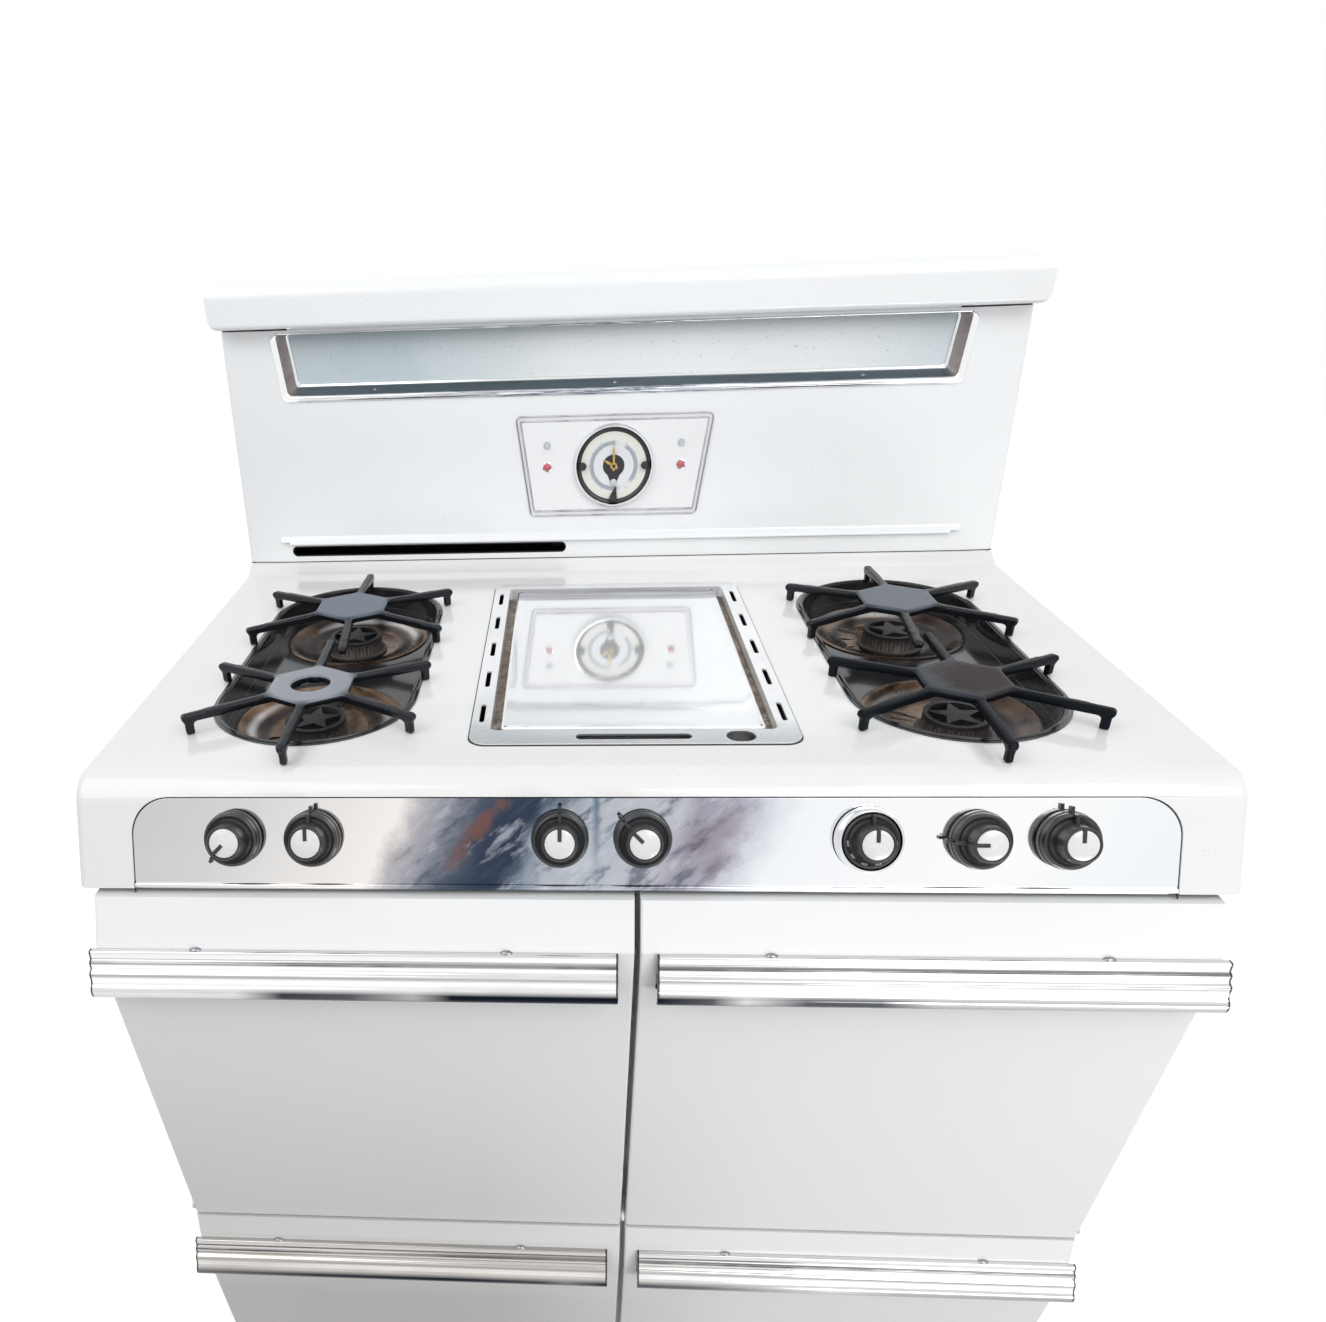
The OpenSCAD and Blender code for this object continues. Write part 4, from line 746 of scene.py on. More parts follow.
def dial_face():
    """Ivory chapter ring, blue-grey ring and white centre with plain hour marks."""
    f = Finish("dial_face", Coat_Weight=0.4)
    x, _, z = f.axes()
    up = (z - (COOK_H + CLOCK_UP)) / math.cos(GUARD_TILT)
    away = (x ** 2 + up ** 2) ** 0.5 / DIAL_R
    turn = x.angle(up) * (12 / (2 * math.pi))
    hour = (turn - turn.nearest()).size()
    marks = hour.below(0.045) * away.above(0.66) * away.below(0.74)
    minor_turn = turn * 5
    minutes = (minor_turn - minor_turn.nearest()).size().below(0.16)
    track = minutes * away.above(0.575) * away.below(0.615)
    rings = f.ramp(
        away, (0.0, (0.84, 0.86, 0.89)), (0.55, (0.84, 0.86, 0.89)), (0.565, (0.33, 0.39, 0.46)),
        (0.665, (0.42, 0.47, 0.53)), (0.68, (0.86, 0.87, 0.83)), (0.93, (0.86, 0.85, 0.76)),
        (0.94, (0.02, 0.02, 0.02)))
    age = f.noise(40, 4, 0.6)
    gaps = f.ramp((turn - 0.6).size(), (0.3, 1), (0.6, 0)) + f.ramp((turn - 5.0).size(), (0.4, 1), (0.8, 0))
    broken = f.mix(gaps * away.above(0.5) * away.below(0.67), rings, (0.84, 0.86, 0.88))
    f.feed(
        Base_Color=f.mix(marks * 0.25 + track * 0.25, f.mix(age * 0.15, broken, (0.70, 0.66, 0.55)),
                         (0.10, 0.10, 0.10)),
        Roughness=age * 0.2 + 0.25)
    return f


def panel_plate():
    """Polished panel whose colour is painted reflection: light and dark bands along it, slanting wisps toward
    its middle, brown patches and a blue streak, paler to the right.
    """
    f = Finish("panel_plate", Metallic=1.0)
    x, _, z = f.axes()
    up = z - KNOB_Z
    flow = f.node("CombineXYZ", {0: (x + up * 0.7) * 14, 1: (up - x * 0.7) * 44})
    wisps = f.noise(1, 5, 0.62, flow)
    ragged = f.noise(26, 5, 0.65)
    place = (x - up * 0.55 + (ragged - 0.5) * (50 * MM)) / PANEL_W + 0.5
    # Painted reflections of the room, in bands of light and dark along the panel.
    tone = f.ramp(
        place, (0.0, (0.60, 0.60, 0.605)), (0.10, (0.66, 0.66, 0.66)), (0.25, (0.90, 0.86, 0.83)),
        (0.275, (0.48, 0.46, 0.48)), (0.305, (0.29, 0.30, 0.35)), (0.335, (0.09, 0.11, 0.15)),
        (0.355, (0.04, 0.055, 0.09)), (0.385, (0.035, 0.05, 0.085)), (0.405, (0.22, 0.26, 0.32)),
        (0.43, (0.44, 0.47, 0.52)), (0.50, (0.50, 0.53, 0.58)), (0.53, (0.50, 0.50, 0.56)),
        (0.55, (0.34, 0.335, 0.40)), (0.58, (0.42, 0.41, 0.48)), (0.61, (0.70, 0.72, 0.78)),
        (0.64, (0.90, 0.92, 0.95)),
        (0.85, (0.97, 0.97, 0.97)), (1.0, (0.88, 0.92, 0.95)))
    # Where the slanting wisps of painted reflection lie.
    painted_reflections = f.ramp(place, (0.26, 0), (0.30, 1), (0.56, 1), (0.62, 0))
    light = f.mix(f.ramp(wisps, (0.54, 0), (0.64, 0.45)) * painted_reflections, tone, (0.66, 0.70, 0.76))
    dark = f.mix(f.ramp(wisps, (0.38, 0.7), (0.48, 0)) * painted_reflections, light, (0.06, 0.08, 0.12))
    along = ((x + 0.142) + (up - 4 * MM)) / (52 * MM)
    across = ((x + 0.142) - (up - 4 * MM)) / (13 * MM)
    left = (along ** 2 + across ** 2) ** 0.5 + (ragged - 0.5) * 4
    right = ((x - 0.066) ** 2 + up ** 2) ** 0.5 / (30 * MM) + (ragged - 0.5) * 3
    # Brown patches of painted reflection, a large one left of the middle and a faint one right of it.
    brown_painted_reflection = f.ramp(left, (0.3, 0.75), (1.2, 0)) + f.ramp(right, (0.3, 0.25), (1.0, 0))
    # A slanting blue streak of painted reflection.
    smear = f.ramp((x + 0.036 + (wisps - 0.5) * (12 * MM)).size() / (5 * MM), (0.0, 0.8), (1.0, 0))
    blue_painted_reflection = smear * f.ramp(up / (80 * MM) + 0.5, (0.15, 0.1), (0.4, 0.6), (0.85, 1))
    f.feed(
        Base_Color=f.mix(blue_painted_reflection, f.mix(brown_painted_reflection, dark, (0.20, 0.09, 0.07)), (0.06, 0.13, 0.22)),
        Roughness=wisps * 0.12 + 0.03)
    return f.bump(wisps, 0.03, 0.2 * MM)


def pull_chrome(name, left, top, tone, painted_reflection_patches):
    """Plated moulding whose colour is painted light and shade: pale steps with thin dark lines of painted
    shade, a roll dark below in patches of painted reflection, and dark ends of painted shade.
    """
    f = Finish(name, Metallic=1.0)
    x, _, z = f.axes()
    along = (x - left) / HANDLE_L
    drop = (top - z) / HANDLE_H
    smear = f.noise(7, 4, 0.6, f.stretched(1, 0.2, 6))
    # steps: painted light and shade down the moulding's face
    steps = f.ramp(
        drop, (0.0, 0.72), (0.15, 0.80), (0.20, 0.30), (0.24, 0.55), (0.27, 0.92), (0.40, 0.84), (0.44, 0.30),
        (0.48, 0.6), (0.53, 0.98), (0.66, 0.92), (0.90, 0.55), (1.0, 0.3))
    # under: painted reflection, dark under the roll in patches along it; line: painted shade in a step's
    # corner; ends: painted shade on the cut ends
    under = f.ramp(drop, (0.66, 0), (0.75, 1)) * f.ramp(along, *painted_reflection_patches)
    line = f.ramp((drop - 0.215).size(), (0.0, 1), (0.035, 0)) * f.ramp(smear, (0.42, 0.15), (0.58, 0.9))
    ends = (along.below(0.004) + along.above(0.996)) * 0.9
    mask = under.larger(line).larger(ends)
    pale = f.mix(steps, (0.06, 0.065, 0.075), tone)
    # The painted light and shade, with darker smears over it.
    painted_reflections = f.mix(f.ramp(smear, (0.50, 0), (0.70, 0.5)), pale, dimmed(tone, 0.6))
    f.feed(Base_Color=f.mix(mask, painted_reflections, (0.006, 0.008, 0.016)), Roughness=smear * 0.14 + 0.04)
    return f


def reveal_metal():
    """Sloping wall of the lamp recess: brown-grey at the ends, dark slate along the foot."""
    f = Finish("reveal_metal", Metallic=0.6)
    x, _, _ = f.axes()
    streak = f.noise(12, 4, 0.6, f.stretched(0.3, 2, 4))
    foot = f.mix(streak, (0.06, 0.085, 0.10), (0.22, 0.27, 0.30))
    side = f.mix(streak, (0.16, 0.13, 0.125), (0.46, 0.42, 0.41))
    f.feed(
        Base_Color=f.mix(f.ramp(x.size() / LAMP_HALF, (0.965, 0), (0.985, 1)), foot, side),
        Roughness=streak * 0.2 + 0.2)
    return f


def rail_metal():
    """Clock frame, painted light and shade: pale along its head and foot, dark down its slanting sides."""
    f = Finish("rail_metal", Metallic=1.0)
    x, _, z = f.axes()
    up = z - (COOK_H + CLOCK_UP)
    inward = x.size() - up * CLOCK_TAPER - CLOCK_W / 2 + 9 * MM
    # side: painted shade down the slanting sides
    side = f.ramp((inward + 20 * MM) / (20 * MM), (0.85, 0), (1.0, 1))
    worn = f.noise(30, 4, 0.6, f.stretched(1, 1, 0.4))
    head = f.mix(f.ramp(worn, (0.40, 0), (0.60, 1)), (0.66, 0.65, 0.68), (0.42, 0.40, 0.44))
    f.feed(Base_Color=f.mix(side, head, (0.20, 0.20, 0.24)), Roughness=worn * 0.2 + 0.08)
    return f


def surround_metal():
    """Lamp surround: pale plating with long level streaks, dark blue streaks of painted reflection right of
    the middle.
    """
    f = Finish("surround_metal", Metallic=1.0)
    x, _, z = f.axes()
    ends = f.ramp(x.size() / LAMP_HALF, (0.94, 0), (0.98, 1))
    streak = f.noise(1, 5, 0.6, f.node("CombineXYZ", {0: x * 9, 1: z * 240}))
    streak = streak * (1 - ends) + ends * 0.6
    pale = f.mix(f.ramp(streak, (0.38, 0), (0.62, 1)), (0.55, 0.56, 0.60), (0.93, 0.93, 0.94))
    zone = f.ramp((x + 0.02).size() / 0.30, (0.25, 1), (0.8, 0.25), (1.0, 0.15))
    # Dark blue streaks of painted reflection, right of the middle.
    blue_painted_reflection = f.ramp(streak, (0.44, 0), (0.52, 1), (0.58, 0)) * zone
    f.feed(Base_Color=f.mix(blue_painted_reflection, pale, (0.07, 0.11, 0.17)), Roughness=streak * 0.15 + 0.05)
    return f


def flecked(name, scale, detail, a, b, spread, rough, **uniform):
    """Two tones and a gloss that follow one fine noise."""
    f = Finish(name, **uniform)
    flecks = f.noise(scale, detail)
    f.feed(Base_Color=f.mix(flecks, a, b), Roughness=flecks * spread + rough)
    return f


def pearl():
    """White knob disc with a faint pearly swirl."""
    f = Finish("pearl", Coat_Weight=0.7, Coat_Roughness=0.05)
    swirl = f.noise(90, 5, 0.7, f.noise(30, 2, out=1))
    f.feed(
        Base_Color=f.mix(f.ramp(swirl, (0.35, 0), (0.65, 1)), (0.86, 0.85, 0.83), (0.68, 0.67, 0.66)),
        Roughness=swirl * 0.2 + 0.15)
    return f


def white_mark():
    """Paint of the numbers."""
    f = Finish("white_mark")
    f.feed(
        Base_Color=f.mix(f.noise(400, 3), (0.60, 0.61, 0.60), (0.78, 0.78, 0.76)),
        Roughness=f.noise(90, 2) * 0.2 + 0.4)
    return f


mirror = mirror_plate()
painted_shade_front_enamel = painted_shade_front_finish()
panel_chrome = panel_plate()
slate_reveal = reveal_metal()
rail_chrome = chrome("rail_chrome", (0.34, 0.34, 0.36), 0.08, 0.3)
clock_rail = rail_metal()
surround_chrome = surround_metal()
burner_iron = iron("burner_iron", (0.045, 0.036, 0.032), (0.15, 0.12, 0.11), 0.36)
bowl_chrome = heated_chrome()
baked_groove = groove_metal()
lamp_glass = ribbed_glass()
clock_ribs = ribbed_plate()
dial_paint = dial_face()
red_jewel = flecked(
    "jewel_glass", 500, 2, (0.42, 0.02, 0.05), (0.75, 0.16, 0.20), 0.08, 0.05, IOR=1.6, Coat_Weight=0.6)
button_clear = flecked(
    "clear_button", 300, 3, (0.42, 0.48, 0.50), (0.72, 0.76, 0.76), 0.1, 0.12, IOR=1.5, Coat_Weight=0.5)
knob_pearl = pearl()
mark_white = white_mark()
lamp_white = flecked("tube_glass", 80, 3, (0.86, 0.86, 0.84), (0.78, 0.79, 0.80), 0.1, 0.15, Coat_Weight=0.5)


def dress(piece, finish, body="chassis", nodes=()):
    """Gives a piece its finish, its body and the nodes it stands for."""
    piece.data.materials.clear()
    piece.data.materials.append(finish.material)
    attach(piece, body)
    if nodes:
        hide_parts(*nodes)
    return piece


def repaint(finish, *nodes):
    """Gives carried-over solids their finish."""
    for node in nodes:
        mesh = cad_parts[node].data
        mesh.materials.clear()
        mesh.materials.append(finish.material)


# ---------- cooktop ----------


def panel_outline(gap, foot_r):
    """Outline of the control panel on the apron plane."""
    w, h = PANEL_W / 2 - gap, PANEL_H - gap
    top = arc((w - PANEL_R, h - PANEL_R), PANEL_R, 0, 90, 12)
    top += arc((-w + PANEL_R, h - PANEL_R), PANEL_R, 90, 180, 12)
    if not foot_r:
        return [(w, -4 * MM)] + top + [(-w, -4 * MM)]
    right = arc((w - foot_r, foot_r), foot_r, -90, 0, 6)
    return right + top + arc((-w + foot_r, foot_r), foot_r, 180, 270, 6)


def cooktop_profile():
    """Side view: back flange, coved rear, flat, round nose and leaning apron."""
    cove = [
        (SEAM_Y - 2 * MM - (COVE_RUN - 2 * MM) * i / 8, COOK_H + COVE_RISE * (1 - i / 8) ** 2)
        for i in range(9)]
    nose = arc((NOSE_Y, NOSE_Z), NOSE_R, 90, 180 - math.degrees(LEAN), 14)
    return [(COOK_BACK, APRON_Z), (COOK_BACK, COOK_H + COVE_RISE)] + cove + nose + [(APRON_Y, APRON_Z)]


def make_cooktop():
    top = bar("cooktop_shell", cooktop_profile(), -COOK_HALF, COOK_HALF)

    def side_edge(a, b):
        on_side = near(abs(a.x), COOK_HALF) and near(a.x, b.x)
        at_foot = near(a.z, APRON_Z) and near(b.z, APRON_Z)
        at_back = near(a.y, COOK_BACK) and near(b.y, COOK_BACK)
        return on_side and not at_foot and not at_back

    roll_edges(top, side_edge, 9 * MM, 6)
    open_shell(top, lambda c, n: n.z < -0.9 or (n.y > 0.9 and c.y > COOK_BACK - MM), SHEET)
    holes = [block("cut", (-1, LEG_SIDE_Y, 0), (1, 1, SKIRT_Z))]
    for side in (-1, 1):
        bay = shifted(stadium(BAY_W, BAY_L), side * BAY_X, BAY_Y)
        holes.append(cutter(bay, COOK_H - 20 * MM, COOK_H + 20 * MM))
    well = shifted(rectangle(GRIDDLE_W - 8 * MM, GRIDDLE_L - 8 * MM, 10 * MM), 0, GRIDDLE_Y)
    holes.append(cutter(well, COOK_H - 20 * MM, COOK_H + 20 * MM))
    holes.append(settle(cutter(panel_outline(0, 0), -20 * MM, 20 * MM), on_panel()))
    holes.append(block(
        "cut", (FLUE_X[0], FLUE_Y[0], COOK_H - 10 * MM), (FLUE_X[1], FLUE_Y[1], COOK_H + 30 * MM)))
    cut(top, *holes)
    soften(top, 0.7)
    dress(top, cooktop_enamel, nodes=["cooktop"])


def make_control_panel():
    """Polished panel in the apron, with a rolled lip along its foot."""
    sheet = slab("panel_sheet", panel_outline(0.8 * MM, PANEL_FOOT_R), -3 * MM, -1 * MM)
    lip_ends = PANEL_W / 2 - 1.2 * MM
    profile = [(3 * MM + y, -1.2 * MM + z) for y, z in arc((0, 0), 2.6 * MM, 0, 337.5, 15)]
    lip = push(outline("lip", [(-lip_ends, y, z) for y, z in profile]), (2 * lip_ends, 0, 0))
    panel = settle(joined("control_panel_sheet", sheet, lip), on_panel())
    soften(panel, 0.5)
    dress(panel, panel_chrome, nodes=["control_panel"])
    # A dark sheet in the gap round the panel: painted shadow.
    shadow_sheet = slab("panel_shadow_gap", panel_outline(-0.3 * MM, 0), -SHEET, -1.4 * MM)
    inner = cutter(panel_outline(0.8 * MM, 0), -1, 1)
    settle(cut(shadow_sheet, inner), on_panel())
    dress(soften(shadow_sheet, 0.1, 1), dark_gap)


# ---------- burners ----------


def drip_pan(side):
    """Stadium pan with a rolled rim and two bowl holes."""
    x0 = side * BAY_X
    rim = shifted(stadium(BAY_W + 2 * PAN_RIM, BAY_L + 2 * PAN_RIM), x0, BAY_Y)
    wall = shifted(stadium(BAY_W - 1 * MM, BAY_L - 1 * MM), x0, BAY_Y)
    hollow = shifted(stadium(BAY_W - 5 * MM, BAY_L - 5 * MM), x0, BAY_Y)
    name = "drip_pan_left" if side < 0 else "drip_pan_right"
    pan = slab(name, rim, COOK_H, COOK_H + 1.5 * MM)
    cut(pan, slab("body", wall, PAN_FLOOR - 1.5 * MM, COOK_H + 1 * MM), operation="UNION")
    holes = [cutter(hollow, PAN_FLOOR, COOK_H + 10 * MM)]
    for y in BURNER_Y:
        ring = circle(BOWL_R - 3 * MM, x0, y + BOWL_BACK)
        holes.append(cutter(ring, PAN_FLOOR - 10 * MM, PAN_FLOOR + 10 * MM))
    cut(pan, *holes)
    soften(pan, 0.6, 3)
    dress(pan, black_enamel, nodes=["drip_pans"])
    bead = outline(name + "_bead", [(x, y, COOK_H + 1.6 * MM) for x, y in [
        (x0 + a, BAY_Y + b) for a, b in stadium(BAY_W + 1 * MM, BAY_L + 1 * MM, 40)]], filled=False)
    take(bead)
    bpy.ops.object.convert(target="CURVE")
    bead.data.bevel_depth = 1.7 * MM
    bead.data.bevel_resolution = 3
    bpy.ops.object.convert(target="MESH")
    dress(smooth(bead, 60), black_enamel)


def burner_bowl(x, y, name):
    """Pressed bowl with stepped rings round the burner."""
    low = PAN_FLOOR - BOWL_DEPTH
    hole = HEAD_R + 2 * MM
    face = shifted(mm((16, 0), (26, 1.5), (34, 4.5)), hole, low) + shifted(
        mm((-12, 6.5), (-6, 11.2), (-2, 11.8), (0, 11.2)), BOWL_R, low)
    bowl = turned(name, face + shifted(face[::-1], 0, -1.2 * MM), 72)
    settle(bowl, Matrix.Translation((x, y + BOWL_BACK, 0)))
    ring = turned("ring", [
        (0, low - 1.2 * MM), (hole + 16 * MM, low - 1.2 * MM), (hole + 16 * MM, low), (0, low)], 72)
    settle(ring, Matrix.Translation((x, y + BOWL_BACK, 0)))
    cut(ring, cutter(circle(hole, x, y), low - 5 * MM, low + 5 * MM))
    bowl = joined(name, bowl, ring)
    edit(bowl)
    bpy.ops.mesh.remove_doubles(threshold=0.02 * MM)
    done()
    dress(smooth(bowl, 40), bowl_chrome, nodes=["burner_bowls"])


def burner_head(x, y, name):
    """Ring of ports round a five-pointed star."""
    seat = PAN_FLOOR - BOWL_DEPTH
    top = seat + 20 * MM
    side = mm((-7, 0), (3, 0), (4, 2), (0, 3), (0, 16), (-1, 19), (-3, 20), (-5.5, 19), (-6.5, 15))
    ring = turned(name, shifted(side, HEAD_R, seat), 60)
    cups = [turned("port", mm((0, 0), (1.3, 0), (1.3, 10), (0, 10)), 8) for _ in range(PORTS)]
    for i, port in enumerate(cups):
        turn = Matrix.Rotation(2 * math.pi * i / PORTS, 4, "Z")
        out = Matrix.Translation((HEAD_R - 4 * MM, 0, top - 6 * MM)) @ Matrix.Rotation(math.pi / 2, 4, "Y")
        settle(port, turn @ out)
    cut(ring, joined("ports", *cups))
    reach, waist = HEAD_R - 4.5 * MM, (HEAD_R - 5 * MM) * 0.36
    star = [polar((reach, waist)[i % 2], 90 + 36 * i) for i in range(10)]
    plate = slab("star", star, top - 9 * MM, top - 2 * MM)
    soften(plate, 0.8)
    stem = turned(name + "_stem", shifted(
        mm((0, -26), (12, -26), (12, 0), (25, 3), (25, 5), (0, 5)), 0, seat), 40)
    place = Matrix.Translation((x, y, 0))
    dress(smooth(settle(joined(name, ring, plate), place), 35), burner_iron)
    dress(smooth(settle(stem, place), 35), black_iron)


def grate(name, x, y, arms, hole, finish):
    """Cast grate: fingers on a middle plate, fused and rounded as cast."""
    under = GRATE_Z - 12 * MM
    tip_r = 4.2 * MM
    pieces = []
    for turn, foot in arms:
        side = [(10 * MM, under + 3 * MM)]
        side += arc((ARM_REACH - tip_r, under + tip_r), tip_r, -90, 84, 8)
        side += [(10 * MM, GRATE_Z)]
        arm = outline("arm", [(a, -ARM_W / 2, h) for a, h in side])
        push(arm, (0, ARM_W, 0))
        turn = Matrix.Rotation(math.radians(turn), 4, "Z")
        pieces.append(settle(arm, turn))
        if foot:
            low = (ARM_REACH - 11 * MM, -3.2 * MM, foot)
            high = (ARM_REACH - 2.5 * MM, 3.2 * MM, under + 3 * MM)
            pieces.append(settle(block("foot", low, high), turn))
    rim = arc((0, 0), HUB_R, 30, 330, 5)
    pieces.append(slab("plate", rounded(rim, 6 * MM, 5), GRATE_Z - 8 * MM, GRATE_Z))
    body = joined(name + "_casting", *pieces)
    modified(body, "REMESH", mode="VOXEL", voxel_size=1.6 * MM)
    if hole:
        cut(body, turned("cut", [(0, COOK_H), (hole, COOK_H), (hole, 1), (0, 1)], 48))
    modified(body, "SMOOTH", factor=0.5, iterations=4)
    settle(body, Matrix.Translation((x, y, 0)))
    take(body)
    bpy.ops.object.shade_smooth()
    dress(body, finish, body=name, nodes=[name])


def make_burners():
    """Drip pans, bowls, burner heads and grates."""
    for side in (-1, 1):
        drip_pan(side)
        for y, row in zip(BURNER_Y, ("front", "rear")):
            which = row + ("_left" if side < 0 else "_right")
            burner_bowl(side * BAY_X, y, "bowl_" + which)
            burner_head(side * BAY_X, y, "burner_" + which)
    on_top, on_rim = COOK_H + 0.3 * MM, COOK_H + 1.8 * MM
    sides = [(30, on_top), (150, on_top), (210, on_top), (330, on_top)]
    # Each grate: colour of the painted reflection on its middle plate, and the radius of the hole in its
    # middle.
    looks = {
        "grate_rear_left": ((0.13, 0.16, 0.21), 0),
        "grate_front_left": ((0.32, 0.34, 0.38), 20 * MM),
        "grate_rear_right": ((0.09, 0.11, 0.14), 0),
        "grate_front_right": ((0.05, 0.055, 0.065), 0),
    }
    for name, (worn, hole) in looks.items():
        s = -1 if "left" in name else 1
        rear = "rear" in name
        y = BURNER_Y[1 if rear else 0]
        arms = sides + ([(90, on_rim), (270 - s * 5, 0)] if rear else [(270, on_top), (90 - s * 2.5, 0)])
        spot = {"gloss": 0.08, "burnt": (0.016, 0.007, 0.005)} if name == "grate_front_right" else {}
        finish = iron("iron_" + name, (0.007, 0.009, 0.013), worn, 0.16, (s * BAY_X, y, HUB_R), **spot)
        grate(name, s * BAY_X, y, arms, hole, finish)
    repaint(black_iron, "burner_heads", "tube_burners")


# ---------- griddle ----------


def make_griddle():
    """Slotted frame, burner box, polished plate and its grooves."""
    rim = slab("griddle_frame_rim", [
        (x, GRIDDLE_Y + y) for x, y in rectangle(GRIDDLE_W, GRIDDLE_L, 16 * MM, 10)], COOK_H, COOK_H + 2 * MM)
    walls = slab("walls", [
        (x, WELL_Y + y) for x, y in rectangle(WELL_W + 4 * MM, WELL_L + 4 * MM, 8 * MM)],
        WELL_Z - 2 * MM, COOK_H + 1 * MM)
    cut(rim, walls, operation="UNION")
    holes = [
        cutter(shifted(rectangle(WELL_W, WELL_L, 6 * MM), 0, WELL_Y), WELL_Z, COOK_H + 1),
        cutter(shifted(rectangle(WELL_W - 32 * MM, WELL_L - 32 * MM, 6 * MM), 0, WELL_Y),
             WELL_Z - 1, COOK_H)]
    for side in (-1, 1):
        for i in range(5):
            x0, y0 = side * (GRIDDLE_W - RIM_SIDE) / 2, WELL_Y + (i - 2) * SLOT_PITCH
            holes.append(slab(
                "cut", shifted(stadium(5 * MM, 40 * MM, 8), x0, y0), COOK_H - 9 * MM, COOK_H + 1))
    front = GRIDDLE_Y - GRIDDLE_L / 2 + RIM_FRONT / 2
    for x0, width, length in ((0, 11 * MM, 107 * MM), (98 * MM, 21 * MM, 27 * MM)):
        holes.append(slab(
            "cut", [(x0 - y, front + x) for x, y in stadium(width, length, 16)], COOK_H - 9 * MM, COOK_H + 1))
    cut(rim, *holes)
    soften(rim, 0.8, 3)
    dress(rim, frame_chrome, nodes=["griddle_frame"])

    # A thin dark ring round the frame's edge.
    dark_outline = slab("griddle_dark_outline", [
        (x, GRIDDLE_Y + y) for x, y in rectangle(GRIDDLE_W + 2.4 * MM, GRIDDLE_L + 2.4 * MM, 17 * MM, 10)],
        COOK_H, COOK_H + 0.7 * MM)
    cut(dark_outline, cutter([
        (x, GRIDDLE_Y + y) for x, y in rectangle(GRIDDLE_W - 1 * MM, GRIDDLE_L - 1 * MM, 16 * MM, 10)],
        0, 2))
    dress(soften(dark_outline, 0.2, 1), dark_gap)

    box_w, box_l = GRIDDLE_W - 8.2 * MM, GRIDDLE_L - 8.2 * MM
    tray = slab("griddle_burner_box", [
        (x, GRIDDLE_Y + y) for x, y in rectangle(box_w, box_l, 10 * MM)], COOK_H - 26 * MM, COOK_H - 0.2 * MM)
    cut(tray, cutter([
        (x, GRIDDLE_Y + y) for x, y in rectangle(box_w - 2 * MM, box_l - 2 * MM, 9 * MM)],
        COOK_H - 25 * MM, COOK_H + 1))
    cut(tray, cutter([
        (x, WELL_Y + y) for x, y in rectangle(WELL_W - 40 * MM, WELL_L - 40 * MM, 9 * MM)], 0, 2))
    dress(soften(tray, 0.3, 1), dark_gap)

    top = PLATE_Z - 1.2 * MM
    plate = slab("griddle_plate_sheet", [
        (x, PLATE_Y + y) for x, y in rectangle(PLATE_W, PLATE_L, 4 * MM, 4)], WELL_Z + 0.2 * MM, top)
    edit(plate, "FACE", lambda c, n: n.z > 0.9)
    bpy.ops.mesh.inset(thickness=2.5 * MM)
    bpy.ops.transform.translate(value=(0, 0, PLATE_Z - top))
    bpy.ops.mesh.inset(thickness=11 * MM)
    bpy.ops.transform.translate(value=(0, 0, -1.0 * MM))
    done()
    soften(plate, 0.5, 2, 12)
    dress(plate, mirror, body="griddle_plate", nodes=["griddle_plate"])
    for side in (-1, 1):
        groove = block(
            "griddle_groove_left" if side < 0 else "griddle_groove_right",
            (side * (WELL_W / 2 - 5 * MM) - 4.6 * MM, WELL_Y - WELL_L / 2 + 4 * MM, WELL_Z),
            (side * (WELL_W / 2 - 5 * MM) + 4.6 * MM, WELL_Y + WELL_L / 2 - 4 * MM, WELL_Z + 2 * MM))
        dress(soften(groove, 0.8, 3), baked_groove)


# ---------- knobs ----------


def fin(name, lo, hi):
    """A softened bar."""
    return soften(block(name, lo, hi), 0.5)


